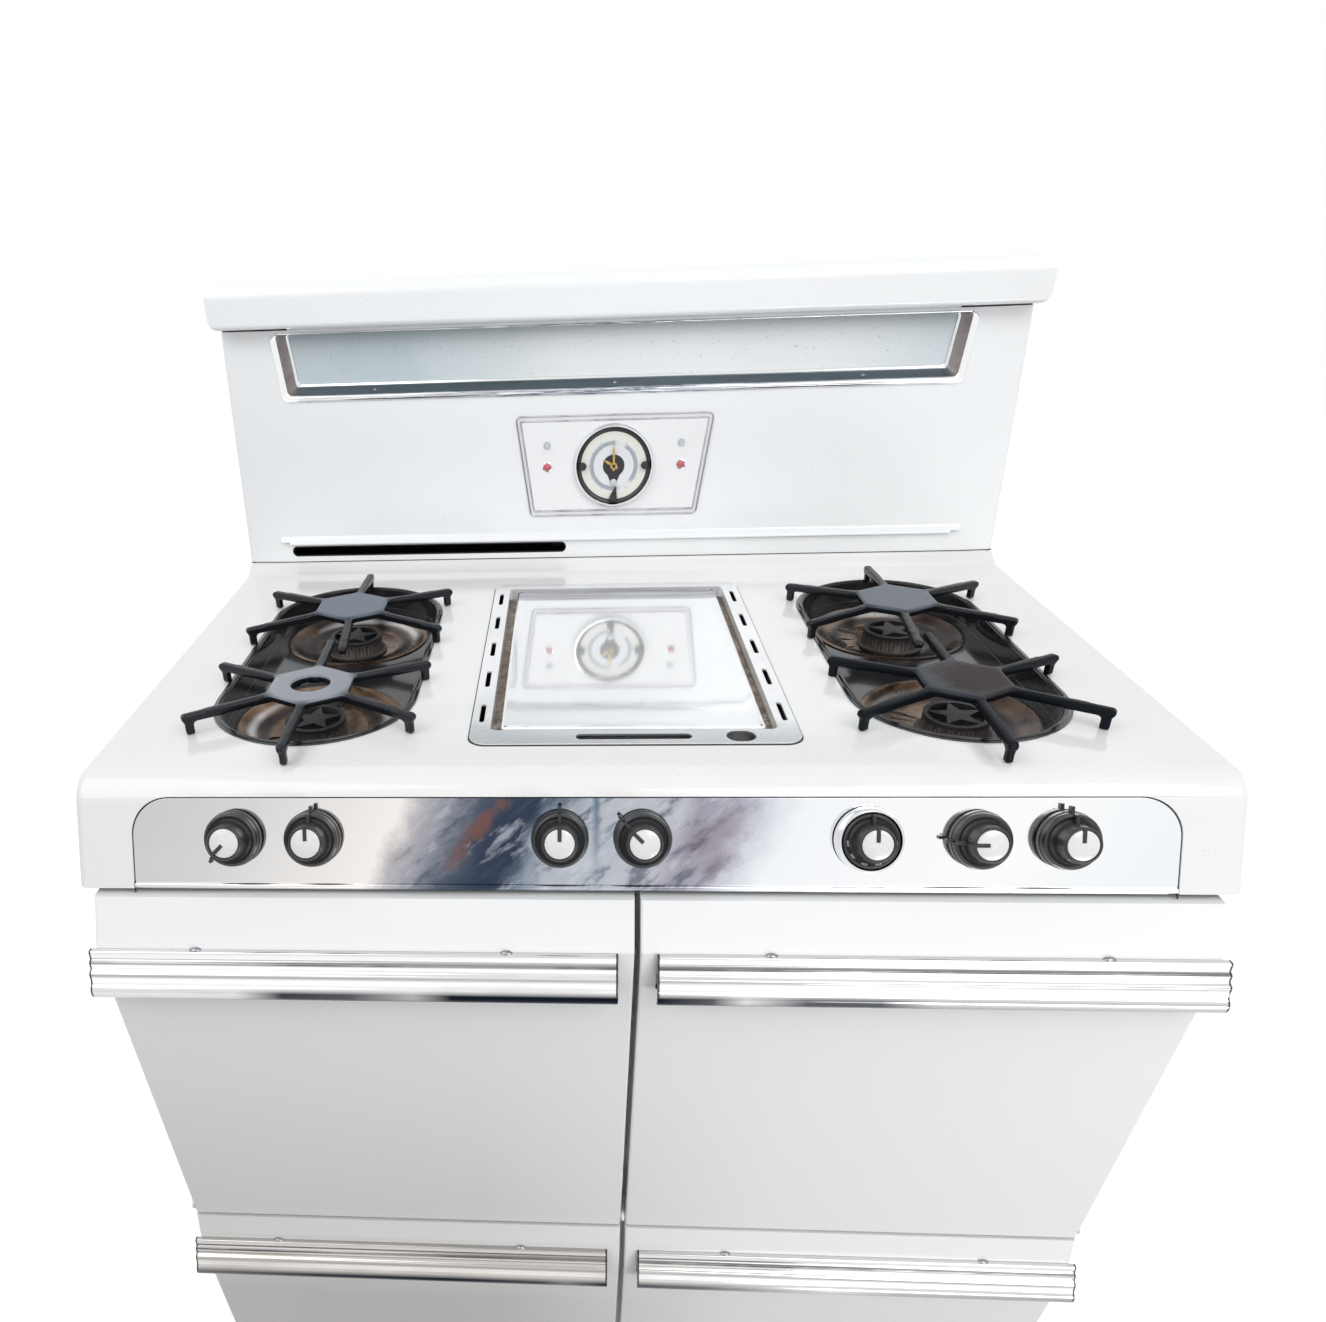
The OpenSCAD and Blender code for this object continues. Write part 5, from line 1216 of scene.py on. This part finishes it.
def make_knob(node, x, turn):
    """Black stepped knob with a pearl disc and a pointer that runs out to its tab."""
    place = on_panel(x, KNOB_UP) @ Matrix.Rotation(math.radians(turn), 4, "Z")
    thermostat = node == "knob_thermostat"
    r, shoulder, barrel = KNOB_R, 15 * MM, 16.5 * MM
    profile = mm(
        (0, 1.5), (24, 1.5), (25, 2.5), (25, 7), (24.2, 8), (24.2, 12), (23.4, 14), (21.5, 15), (19, 14),
        (17.3, 15.5), (16.5, 18), (15.5, 30.5), (14.5, 31.7), (13.6, 32), (12.9, 30.4), (0, 30.4))
    body = turned(node + "_body", profile, 72)
    half = 1.5 * MM
    blade = [
        fin("blade", (-half, 2.5 * MM, KNOB_H - 3 * MM), (half, barrel - 1.2 * MM, KNOB_H + 0.9 * MM)),
        fin("blade", (-half, barrel - 4 * MM, shoulder - 4 * MM), (half, r - 1.5 * MM, shoulder + 5 * MM)),
    ]
    if not thermostat:
        blade.append(fin("tab", (-half, r - 6 * MM, 5 * MM), (half, r + 4.5 * MM, 11 * MM)))
    smooth(body, 32)
    settle(joined(node + "_body", body, *blade), place)
    dress(bpy.context.object, black_plastic, body=node, nodes=[node])
    disc = turned(node + "_disc", shifted(
        mm((0, -3), (12.7, -3), (12.7, -0.9), (11.6, -0.3), (0, 0.2)), 0, KNOB_H), 56)
    cut(disc, block("cut", (-1.7 * MM, 2.2 * MM, 0), (1.7 * MM, 20 * MM, 1)))
    settle(smooth(disc, 30), place)
    dress(disc, knob_pearl, body=node)
    if thermostat:
        skirt = turned("thermostat_skirt", shifted(
            mm((0.2, 1.6), (3.4, 1.6), (3.6, 3), (2.6, 12), (1.6, 14), (0.2, 14.2)), r, 0), 72)
        settle(smooth(skirt, 30), place)
        dress(skirt, bright_chrome, body=node)
        thermostat_numbers(node, place, shoulder)


def thermostat_numbers(node, place, shoulder):
    """Plain numbers round the lower half of the thermostat's black ring."""
    marks = []
    for i, word in enumerate(("250", "300", "350", "400", "450", "500")):
        begin()
        bpy.ops.object.text_add()
        text = bpy.context.object
        text.data.body = word
        text.data.size = 3.6 * MM
        text.data.align_x = "CENTER"
        text.data.align_y = "CENTER"
        text.data.extrude = 0.12 * MM
        bpy.ops.object.convert(target="MESH")
        turn = math.radians(95 + 34 * i)
        ring = Matrix.Rotation(turn, 4, "Z") @ Matrix.Translation((0, 20.2 * MM, shoulder - 0.35 * MM))
        marks.append(settle(bpy.context.object, ring))
    numbers = settle(joined("thermostat_numbers", *marks), place)
    dress(numbers, mark_white, body=node)


# ---------- backguard ----------


def lamp_outline(grow):
    """The lamp opening, wider toward its top, grown outward."""
    half = LAMP_HALF + grow
    top = LAMP_H
    wide = half + LAMP_FLARE * top
    return rounded([(-half, -grow), (half, -grow), (wide, top), (-wide, top)], 6 * MM + max(grow, 0) / 2)


def clock_outline(inset):
    """The clock plate, narrower toward its foot, drawn inward."""
    h = CLOCK_H / 2 - inset
    half = CLOCK_W / 2 - inset
    foot = half - CLOCK_TAPER * 2 * h
    return rounded([(-foot, -h), (foot, -h), (half, h), (-half, h)], max(7 * MM - inset, 1.5 * MM))


def make_backguard():
    """Guard with lamp, clock and vent openings, its ledge with a painted shadow line under it, and the vent's
    dark rim.
    """
    top_z = GUARD_TOP_Z - 4 * MM
    profile = [
        (SEAM_Y, COOK_H + COVE_RISE), (BACK_Y - SHEET, COOK_H + COVE_RISE), (BACK_Y - SHEET, top_z),
        (guard_y(top_z - COOK_H), top_z)]
    guard = bar("backguard_sheet", profile, -GUARD_HALF, GUARD_HALF)
    for x in (-GUARD_CREASE, GUARD_CREASE):
        edit(guard)
        bpy.ops.mesh.bisect(plane_co=(x, 0, 0), plane_no=(1, 0, 0))
        done()
    edit(guard, "VERT", lambda p: abs(p.x) > GUARD_HALF - MM and p.y < BACK_Y - 40 * MM)
    bpy.ops.transform.translate(value=(0, 3 * MM, 0))
    done()

    def front_corner(a, b):
        return near(abs(a.x), GUARD_HALF) and near(a.x, b.x) and max(a.y, b.y) < BACK_Y - 30 * MM

    roll_edges(guard, front_corner, 3 * MM, 4)
    open_shell(guard, lambda c, n: n.y > 0.9 and c.y > BACK_Y - 5 * MM, SHEET)
    holes = [settle(cutter(lamp_outline(0.2 * MM), -12 * MM, 12 * MM), on_guard(0, LAMP_UP))]
    vent = [(y, x) for x, y in stadium(VENT_H, VENT_L)]
    holes.append(settle(cutter(vent, -12 * MM, 12 * MM), on_guard(VENT_X, VENT_UP)))
    holes.append(settle(cutter(clock_outline(11 * MM), -12 * MM, 12 * MM), on_guard(0, CLOCK_UP)))
    holes.append(block(
        "cut", (FLUE_X[0], FLUE_Y[0], COOK_H), (FLUE_X[1], FLUE_Y[1], COOK_H + COVE_RISE + 4 * MM)))
    cut(guard, *holes)
    soften(guard, 0.8, 2, 20)
    dress(guard, guard_painted_light_enamel, nodes=["backguard_shell"])
    brow = arc((1.2 * MM, LEDGE_OUT - 2 * MM), 2 * MM, 180, 20, 6)
    ledge = bar("ledge", mm((-1, -0.6)) + brow + mm((7, 1.5), (12, -0.6)), -LEDGE_HALF, LEDGE_HALF)
    for side in (-1, 1):
        edit(ledge, "VERT", lambda p: p.x * side > LEDGE_HALF - MM and p.y < 3 * MM)
        bpy.ops.transform.translate(value=(-side * LEDGE_TAPER, 0, 0))
        done()
    settle(ledge, on_guard(0, LEDGE_UP))
    ledge.name = "backguard_ledge"
    dress(soften(ledge, 1.2, 3), guard_painted_light_enamel)
    # A dark strip under the ledge: painted shadow.
    end = LEDGE_HALF - LEDGE_TAPER - 1 * MM
    line = slab("backguard_ledge_shadow_line", [
        (x, y * MM) for x, y in ((-end, -2.2), (end, -2.2), (end, -0.8), (-end, -0.8))], -0.2 * MM, 0.25 * MM)
    dress(settle(soften(line, 0.1, 1), on_guard(0, LEDGE_UP)), rail_chrome)
    slot_rim = [(y, x) for x, y in stadium(VENT_H + 2 * MM, VENT_L + 2 * MM)]
    rim = slab("vent_slot_rim", slot_rim, -2 * MM, 0.4 * MM)
    cut(rim, cutter([(y, x) for x, y in stadium(VENT_H - 1 * MM, VENT_L - 1 * MM)], -1, 1))
    settle(rim, on_guard(VENT_X, VENT_UP))
    dress(soften(rim, 0.3), dark_gap)


def make_shelf():
    """Rounded shelf and the shadow lines under it and at the guard's foot."""
    front = GUARD_TOP_Y - SHELF_OVER
    top = COOK_H + GUARD_RISE
    nose = arc((front + SHELF_NOSE_R, top - SHELF_NOSE_R), SHELF_NOSE_R, 90, 180, 12)
    profile = [(BACK_Y, GUARD_TOP_Z), (BACK_Y, top)] + nose
    profile += arc((front + 6 * MM, GUARD_TOP_Z + 6 * MM), 6 * MM, 180, 270, 5)
    shelf = bar("shelf_cap", profile, -SHELF_HALF - 1 * MM, SHELF_HALF + 1 * MM)
    corners = [(-SHELF_HALF, GUARD_TOP_Z), (SHELF_HALF, GUARD_TOP_Z), (SHELF_HALF, top), (-SHELF_HALF, top)]
    ends = rounded(corners, 13 * MM, 8)
    trimmer = push(outline("trimmer", [(x, front - 5 * MM, z) for x, z in ends]), (0, 120 * MM, 0))
    cut(shelf, trimmer, operation="INTERSECT")
    cut(shelf, block(
        "cut", (-SHELF_HALF + 16 * MM, GUARD_TOP_Y + 3 * MM, GUARD_TOP_Z - 1 * MM),
        (SHELF_HALF - 16 * MM, BACK_Y - 3.5 * MM, top - SHEET)))
    soften(shelf, 4, 4, 50)
    dress(shelf, guard_painted_light_enamel, nodes=["top_shelf"])
    seam = slab("guard_seam", [
        (x, SEAM_Y + y * MM) for x, y in (
            (-GUARD_HALF, 2.6), (-GUARD_CREASE, -0.4), (GUARD_CREASE, -0.4), (GUARD_HALF, 2.6),
            (GUARD_HALF, 6), (-GUARD_HALF, 6))],
        COOK_H + COVE_RISE - 0.4 * MM, COOK_H + COVE_RISE + 0.9 * MM)
    dress(soften(seam, 0.1, 1), dark_gap)
    gaps = [
        soften(block("gap", (x - 42 * MM, GUARD_TOP_Y + 3 * MM, GUARD_TOP_Z - 7 * MM),
                     (x + 42 * MM, GUARD_TOP_Y + 5 * MM, GUARD_TOP_Z)), 0.2, 1)
        for x in (-GUARD_HALF + 44 * MM, GUARD_HALF - 44 * MM)]
    filler = block(
        "shelf_fold", (-GUARD_HALF + 86 * MM, GUARD_TOP_Y + 2 * MM, GUARD_TOP_Z - 7 * MM),
        (GUARD_HALF - 86 * MM, GUARD_TOP_Y + 5 * MM, GUARD_TOP_Z + 1 * MM))
    dress(joined("shelf_shadow_gap", *gaps), dark_gap)
    dress(soften(filler, 0.5), guard_painted_light_enamel)


def lamp_band(name, wall, *rings):
    """A sheet band round the lamp through rings of (growth, height), both in millimetres."""
    band = joined(name, *(
        outline("ring", [(x, y, high * MM) for x, y in lamp_outline(grow * MM)], filled=False)
        for grow, high in rings))
    edit(band, "EDGE")
    bpy.ops.mesh.bridge_edge_loops()
    even_normals()
    done()
    return modified(band, "SOLIDIFY", thickness=wall, offset=-1)


def make_lamp():
    """Chrome surround with a sloping inner wall, and the ribbed glass behind it."""
    place = on_guard(0, LAMP_UP)
    face = lamp_band("lamp_surround", 0.8 * MM, (8, 0.2), (7.2, 2), (4, 3), (1, 2), (-0.5, 0.3))
    dress(settle(smooth(face, 50), place), surround_chrome, nodes=["lamp_trim"])
    wall = lamp_band("lamp_reveal", 0.6 * MM, (-0.5, 0.3), (-8, -12), (-9, -13))
    dress(settle(smooth(wall, 30), place), slate_reveal)
    lip = lamp_band("lamp_lip", 0.5 * MM, (-9, -13), (-10.5, -12.2), (-13, -13.5), (-13.5, -15.8))
    dress(settle(smooth(lip, 50), place), bright_chrome)
    pane = slab("lamp_pane", lamp_outline(-8 * MM), -LAMP_DEPTH - 3.2 * MM, -LAMP_DEPTH - 0.2 * MM)
    settle(soften(pane, 0.3, 1), place)
    dress(pane, lamp_glass, nodes=["lamp_glass"])
    screws = []
    for x in (-LAMP_SCREW_X, 0, LAMP_SCREW_X):
        screw = turned("screw", mm((0, 0), (2.6, 0), (2.4, 0.8), (1.4, 1.5), (0, 1.7)), 20)
        cut(screw, block("cut", (-3 * MM, -0.3 * MM, 1 * MM), (3 * MM, 0.3 * MM, 3 * MM)))
        screws.append(settle(screw, place @ Matrix.Translation((x, 4.5 * MM, -6.6 * MM))
                             @ Matrix.Rotation(math.radians(-33), 4, "X")))
    dress(smooth(joined("lamp_screws", *screws), 40), steel)
    repaint(lamp_white, "lamp_tube")


def make_clock():
    """Ribbed plate, frame, dial with its hands' hub, knobs, buttons and jewels."""
    place = on_guard(0, CLOCK_UP)
    plate = slab("clock_ribbed_plate", clock_outline(8.1 * MM), 0.1 * MM, 1.5 * MM)
    cut(plate, cutter(circle(DIAL_R + 0.2 * MM), -1, 1))
    for side in (-1, 1):
        for up, r in ((BUTTON_UP, BUTTON_R + 0.2 * MM), (0, JEWEL_R + 0.1 * MM)):
            cut(plate, cutter(circle(r, side * BUTTON_X, up, 24), -1, 1))
    settle(soften(plate, 0.2, 1), place)
    dress(plate, clock_ribs, nodes=["clock_plate"])
    rails = []
    for inset, wide, out in ((0, 1.8 * MM, 2 * MM), (5.8 * MM, 2.2 * MM, 2 * MM)):
        rail = slab("rail", clock_outline(inset), 0.1 * MM, out)
        cut(rail, cutter(clock_outline(inset + wide), -1, 1))
        rails.append(soften(rail, 0.6))
    bezel = turned("bezel", shifted(
        mm((-5.7, 1.6), (0, 1.6), (0, 4), (-1, 7), (-2.6, 9), (-4, 8.8), (-5.7, 5.5)), CLOCK_R, 0), 96)
    dress(settle(smooth(bezel, 40), place), bright_chrome, nodes=["clock_trim"])
    dress(settle(joined("clock_rails", *rails), place), clock_rail)
    face = turned("clock_dial_face", mm((3, 1.2), (47, 1.2), (47, 2.9), (3, 2.9)), 96)
    dress(settle(smooth(face, 30), place), dial_paint, nodes=["clock_dial"])
    ring = turned("clock_black_ring", shifted(mm((-4.2, 3), (0, 3), (0, 5.4), (-3, 4.6)), DIAL_R, 0), 96)
    hub = turned("hub", mm((3, 3.02), (14, 3.02), (14, 3.5), (3, 3.7)), 48)
    neck = slab("neck", mm(
        (-4.5, -20), (4.5, -20), (9, -9), (-9, -9)), 3.02 * MM, 3.4 * MM)
    pointer = slab("pointer", mm(
        (-5, -42), (5, -42), (4, -31), (3, -26), (-2.5, -35)),
        3.02 * MM, 5 * MM)
    settle(smooth(joined("clock_black_ring", ring, hub, neck, pointer), 40), place)
    dress(bpy.context.object, black_plastic)
    lens = turned("clock_timer_button", mm(
        (0, 3.6), (4.4, 3.6), (4.4, 5.2), (3, 6.0), (0, 6.2)), 28)
    settle(smooth(lens, 40), place @ Matrix.Translation((0, -21 * MM, 0)))
    dress(lens, button_clear)
    repaint(motor_plastic, "clock_motor")
    repaint(brass, "hour_hand", "minute_hand")
    for node, x, up in (("clock_knob_start", -CLOCK_KNOB_RING, 0), ("clock_knob_stop", CLOCK_KNOB_RING, 0),
                        ("clock_knob_timer", 0, -CLOCK_KNOB_RING)):
        knob = turned(node + "_cap", mm(
            (0, 3.4), (4.6, 3.4), (5, 4), (4.8, 9), (3.8, 10.2),
            (0, 10.4)), 30)
        settle(smooth(knob, 40), place @ Matrix.Translation((x, up, 0)))
        dress(knob, black_plastic, body=node, nodes=[node])
    for side, node in ((-1, "switch_button_left"), (1, "switch_button_right")):
        cap = turned(node + "_cap", mm(
            (0, -10), (6.2, -10), (6.2, -7), (4.2, -7), (4.2, 3.6), (3, 4.8), (0, 5)), 32)
        settle(smooth(cap, 40), place @ Matrix.Translation((side * BUTTON_X, BUTTON_UP, 0)))
        dress(cap, button_clear, body=node, nodes=[node])
    repaint(red_jewel, "pilot_jewels")
    rings = []
    for side in (-1, 1):
        ring = turned("ring", shifted(mm((0.2, 1.5), (1.4, 1.5), (1.2, 2.4), (0.2, 2.8)), JEWEL_R, 0), 36)
        rings.append(settle(ring, place @ Matrix.Translation((side * BUTTON_X, 0, 0))))
    dress(smooth(joined("jewel_rings", *rings), 40), bright_chrome)


# ---------- doors and drawers ----------


def front_skin(name, profile, side, body, node, open_back, extra=()):
    """Bent enamelled front, open behind, with rolled ends."""
    x0, x1 = (DOOR_IN, DOOR_OUT) if side > 0 else (-DOOR_OUT, -DOOR_IN)
    skin = bar(name, profile, x0, x1)
    roll_edges(
        skin, lambda a, b: near(a.x, b.x) and (near(a.x, x0) or near(a.x, x1))
        and max(a.y, b.y) < DOOR_BACK_Y - MM, 3 * MM, 4)
    open_shell(skin, open_back, SHEET)
    for tool in extra:
        cut(skin, tool)
    soften(skin, 1, 2, 20)
    dress(skin, painted_shade_front_enamel, body=body, nodes=[node])
    return skin


def make_doors():
    """Door skins with room for their hinge pins."""
    foot_z = SEAM_Z + SEAM_HALF
    profile = [
        (DOOR_BACK_Y, foot_z), (DOOR_FOOT_Y, foot_z), (DOOR_KINK_Y + 3 * MM, HANDLE_Z - HANDLE_H),
        (DOOR_KINK_Y, HANDLE_Z), (DOOR_KINK_Y + 21 * MM, DOOR_TOP_Z), (DOOR_BACK_Y, DOOR_TOP_Z)]
    for side, which in ((-1, "left"), (1, "right")):
        hinge = []
        for x in ((DOOR_IN, DOOR_OUT)):
            tool = turned("cut", mm((0, -6), (4.05, -6), (4.05, 6), (0, 6)), 24)
            settle(tool, Matrix.Translation((side * x, DOOR_FOOT_Y + 7.5 * MM, foot_z + 8 * MM))
                   @ Matrix.Rotation(math.pi / 2, 4, "Y"))
            hinge.append(tool)
        front_skin(
            f"door_{which}_sheet", profile, side, f"door_{which}", f"door_{which}_skin",
            lambda c, n: n.y > 0.9, hinge)
        repaint(zinc, f"door_{which}_inner")


def make_drawers():
    """Drawer fronts and boxes."""
    top_z = SEAM_Z - SEAM_HALF
    profile = [
        (DOOR_BACK_Y, DRAWER_FOOT_Z), (DRAWER_FOOT_Y, DRAWER_FOOT_Z),
        (DRAWER_KINK_Y + 2 * MM, LOW_HANDLE_Z - HANDLE_H), (DRAWER_KINK_Y, LOW_HANDLE_Z),
        (DRAWER_KINK_Y + 4.5 * MM, top_z), (DOOR_BACK_Y, top_z)]
    for side, which in ((-1, "left"), (1, "right")):
        drawer = f"drawer_{which}"
        front_skin(drawer + "_front", profile, side, drawer, drawer, lambda c, n: n.y > 0.9)
        x0 = side * (DOOR_IN + DOOR_OUT) / 2
        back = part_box(drawer)[1][1]
        box = block(
            drawer + "_box", (x0 - 217 * MM, DOOR_BACK_Y - 2 * MM, 110 * MM), (x0 + 217 * MM, back, 300 * MM))
        cut(box, block(
            "cut", (x0 - 215 * MM, DOOR_BACK_Y, 112 * MM), (x0 + 215 * MM, back - 2 * MM, 301 * MM)))
        dress(soften(box, 0.5), white_enamel, body=drawer)
        plate = block(
            drawer + "_backing",
            (x0 - (DOOR_OUT - DOOR_IN) / 2 + 1 * MM, DOOR_BACK_Y - 1.5 * MM, DRAWER_FOOT_Z + 1 * MM),
            (x0 + (DOOR_OUT - DOOR_IN) / 2 - 1 * MM, DOOR_BACK_Y - 0.1 * MM, top_z - 1 * MM))
        dress(soften(plate, 0.3, 1), white_enamel, body=drawer)


def handle_profile(lean):
    """Three steps down to a roll, with a finger pull behind the roll."""
    s = STEP
    out = 19.8 * MM
    lip = -out + 7 * MM
    points = [(0, 0)]
    steps = (-s, -2, 2, -8, 4), (-1.7 * s, -11, 2, -16, 4), (-2.6 * s, -20.5, 3, -25, 5)
    for y, z, r, foot, count in steps:
        points += arc((y + r * MM, z * MM), r * MM, 90, 180, count) + [(y, foot * MM)]
    points += arc((-out + ROLL_R, -HANDLE_H + ROLL_R), ROLL_R, 122, 258, 14)
    points += [(lip, -HANDLE_H + 1 * MM), (lip, -25 * MM), (-1.6 * s, -19.6 * MM), (-2.5 * MM, -17.6 * MM)]
    return points + shifted(mm((-1.2, 4.5), (-0.1, 4.2)), lean, -HANDLE_H)


def make_handles():
    """Plated mouldings of doors and drawers with their screws."""
    reach = DOOR_OUT + 4.5 * MM
    rows = (("upper", DOOR_KINK_Y - 0.2 * MM, HANDLE_Z, 3 * MM, "door"),
            ("lower", DRAWER_KINK_Y - 0.2 * MM, LOW_HANDLE_Z, 2 * MM, "drawer"))
    # Each handle's tone and its patches of painted reflection; the lower handles' darker tones are painted
    # shade.
    bright, dull, grey = (0.93, 0.93, 0.925), (0.66, 0.63, 0.60), (0.80, 0.79, 0.77)
    looks = {
        "upper_left": (
            bright, ((0, 0.05), (0.28, 0.1), (0.37, 0.95), (0.50, 0.9), (0.62, 0.5), (0.69, 1), (1, 1))),
        "upper_right": (
            bright, ((0, 1), (0.10, 0.9), (0.16, 0.2), (0.27, 0.9), (0.40, 0.9), (0.5, 0.4), (1, 0.3))),
        "lower_left": (dull, ((0, 0.75), (0.30, 0.95), (0.62, 1), (0.85, 0.9), (0.90, 0.7), (1, 1))),
        "lower_right": (grey, ((0, 0.9), (0.15, 0.8), (0.35, 0.35), (0.45, 0.1), (0.6, 0.4), (1, 0.5))),
    }
    for row, y0, z0, lean, holder in rows:
        profile = [(y0 + y, z0 + z) for y, z in handle_profile(lean)]
        for side, which in ((-1, "left"), (1, "right")):
            x0 = reach - HANDLE_L if side > 0 else -reach
            tone, painted_reflection_patches = looks[f"{row}_{which}"]
            node = f"handle_{row}_{which}"
            body = f"{holder}_{which}"
            finish = pull_chrome("chrome_" + node, x0, z0, tone, painted_reflection_patches)
            pull = bar(node + "_moulding", profile, x0, x0 + HANDLE_L)
            soften(pull, 0.5, 2, 30)
            dress(pull, finish, body=body, nodes=[node])
            domes = []
            for x in (x0 + HANDLE_SCREW_IN, x0 + HANDLE_L - HANDLE_SCREW_IN):
                dome = turned("dome", mm((0, -1), (5.5, -1)) + arc((0, -2 * MM), 6 * MM, 20, 90, 6), 24)
                flat = Matrix.Diagonal((1, 0.6, 0.6, 1))
                domes.append(settle(dome, Matrix.Translation((x, y0 - 1 * MM, z0)) @ flat))
            dress(smooth(joined(node + "_screws", *domes), 40), rail_chrome, body=body)


# ---------- carcass ----------


def paint_carcass():
    """Finishes of the solids that are shown as they are."""
    repaint(white_enamel, "side_panels", "front_frame")
    repaint(zinc, "back_panel", "centre_partition", "drawer_runners")
    repaint(black_enamel, "base_frame", "oven_flue", "broiler_pan")
    repaint(oven_enamel, "oven_liner", "broiler_liner")
    repaint(steel, "levelling_feet", "gas_manifold")
    repaint(brass, "gas_valves")
    repaint(bright_chrome, "oven_rack")


# ---------- camera, light and floor ----------


def make_camera():
    """The photograph's viewpoint: place, direction, focal length and shift from the fitted view."""
    picture_w, picture_h = 1326, 1322
    focal_px, centre_px = 1009.498, (495.287, 785.441)
    right = Vector((0.99745754, 0.06106039, -0.03674337))
    forward = Vector((-0.07124897, 0.86479259, -0.49704865)).normalized()
    right = (right - forward * right.dot(forward)).normalized()
    up = right.cross(forward)
    data = bpy.data.cameras.new("camera")
    camera = bpy.data.objects.new("camera", data)
    bpy.context.scene.collection.objects.link(camera)
    turn = Matrix((right, up, -forward)).transposed().to_4x4()
    camera.matrix_world = Matrix.Translation((-0.06112, -1.05510, 1.34474)) @ turn
    data.sensor_fit = "HORIZONTAL"
    data.sensor_width = 36
    data.lens = focal_px * 36 / picture_w
    data.shift_x = (picture_w / 2 - centre_px[0]) / picture_w
    data.shift_y = (centre_px[1] - picture_h / 2) / picture_w
    data.clip_start = 0.01
    bpy.context.scene.camera = camera


def soft_lamp(name, place, aim, size, power, colour=(1, 1, 1)):
    """An area lamp that looks at a place."""
    data = bpy.data.lights.new(name, "AREA")
    data.shape = "RECTANGLE"
    data.size, data.size_y = size
    data.energy = power
    data.color = colour
    lamp = bpy.data.objects.new(name, data)
    bpy.context.scene.collection.objects.link(lamp)
    way = (Vector(aim) - Vector(place)).to_track_quat("-Z", "Y")
    lamp.matrix_world = Matrix.Translation(place) @ way.to_matrix().to_4x4()


def direct_rays(finish):
    """One for rays of the camera, of gloss and through glass, and nought for bounced light."""
    path = finish.tree.nodes.new("ShaderNodeLightPath")
    camera, gloss, glass = (
        Value(finish, path.outputs[f"Is {kind} Ray"]) for kind in ("Camera", "Glossy", "Transmission"))
    return camera.larger(gloss).larger(glass)


def make_surroundings():
    """Pale floor, a white world and soft lamps."""
    begin()
    bpy.ops.mesh.primitive_plane_add(size=12, location=(0, 0, 0))
    floor = settle(named("floor"))
    f = Finish("pale_floor", Roughness=0.9, Specular_IOR_Level=0.0)
    f.feed(Base_Color=f.mix(f.noise(1.5, 3), (0.88, 0.88, 0.88), (0.91, 0.91, 0.91)))
    floor.data.materials.append(f.material)
    glow = f.node("Emission", {"Strength": 0.40})
    seen = f.tree.nodes.new("ShaderNodeAddShader")
    f.tree.links.new(f.shader.outputs[0], seen.inputs[0])
    f.tree.links.new(glow.socket, seen.inputs[1])
    bounce = f.node("BsdfDiffuse", {"Color": (0.13, 0.13, 0.132, 1)})
    swap = f.node("MixShader", {0: direct_rays(f), 1: bounce, 2: Value(f, seen.outputs[0])})
    f.tree.links.new(swap.socket, f.tree.nodes["Material Output"].inputs["Surface"])

    world = bpy.data.worlds.new("studio")
    bpy.context.scene.world = world
    world.use_nodes = True
    sky = Shading(world.node_tree)
    light = sky.node("Background", {"Color": (0.97, 0.985, 1.0, 1), "Strength": 0.72})
    white = sky.node("Background", {"Color": (1, 1, 1, 1), "Strength": 1.0})
    swap = sky.node("MixShader", {0: direct_rays(sky), 1: light, 2: white})
    sky.tree.links.new(swap.socket, sky.tree.nodes["World Output"].inputs["Surface"])

    soft_lamp("key", (1.2, -1.9, 2.9), (0.1, 0, 0.8), (1.8, 1.4), 22)
    soft_lamp("fill", (-1.6, -1.2, 3.0), (0, 0, 0.9), (2.0, 2.0), 18, (0.96, 0.98, 1.0))
    soft_lamp("side", (0.9, -1.6, 0.35), (0.35, -0.3, 0.65), (0.9, 0.36), 7)


make_camera()
make_surroundings()
make_cooktop()
make_control_panel()
make_burners()
make_griddle()
for knob in KNOBS:
    make_knob(*knob)
make_backguard()
make_shelf()
make_lamp()
make_clock()
make_doors()
make_drawers()
make_handles()
paint_carcass()

bpy.context.scene.view_settings.view_transform = "Standard"
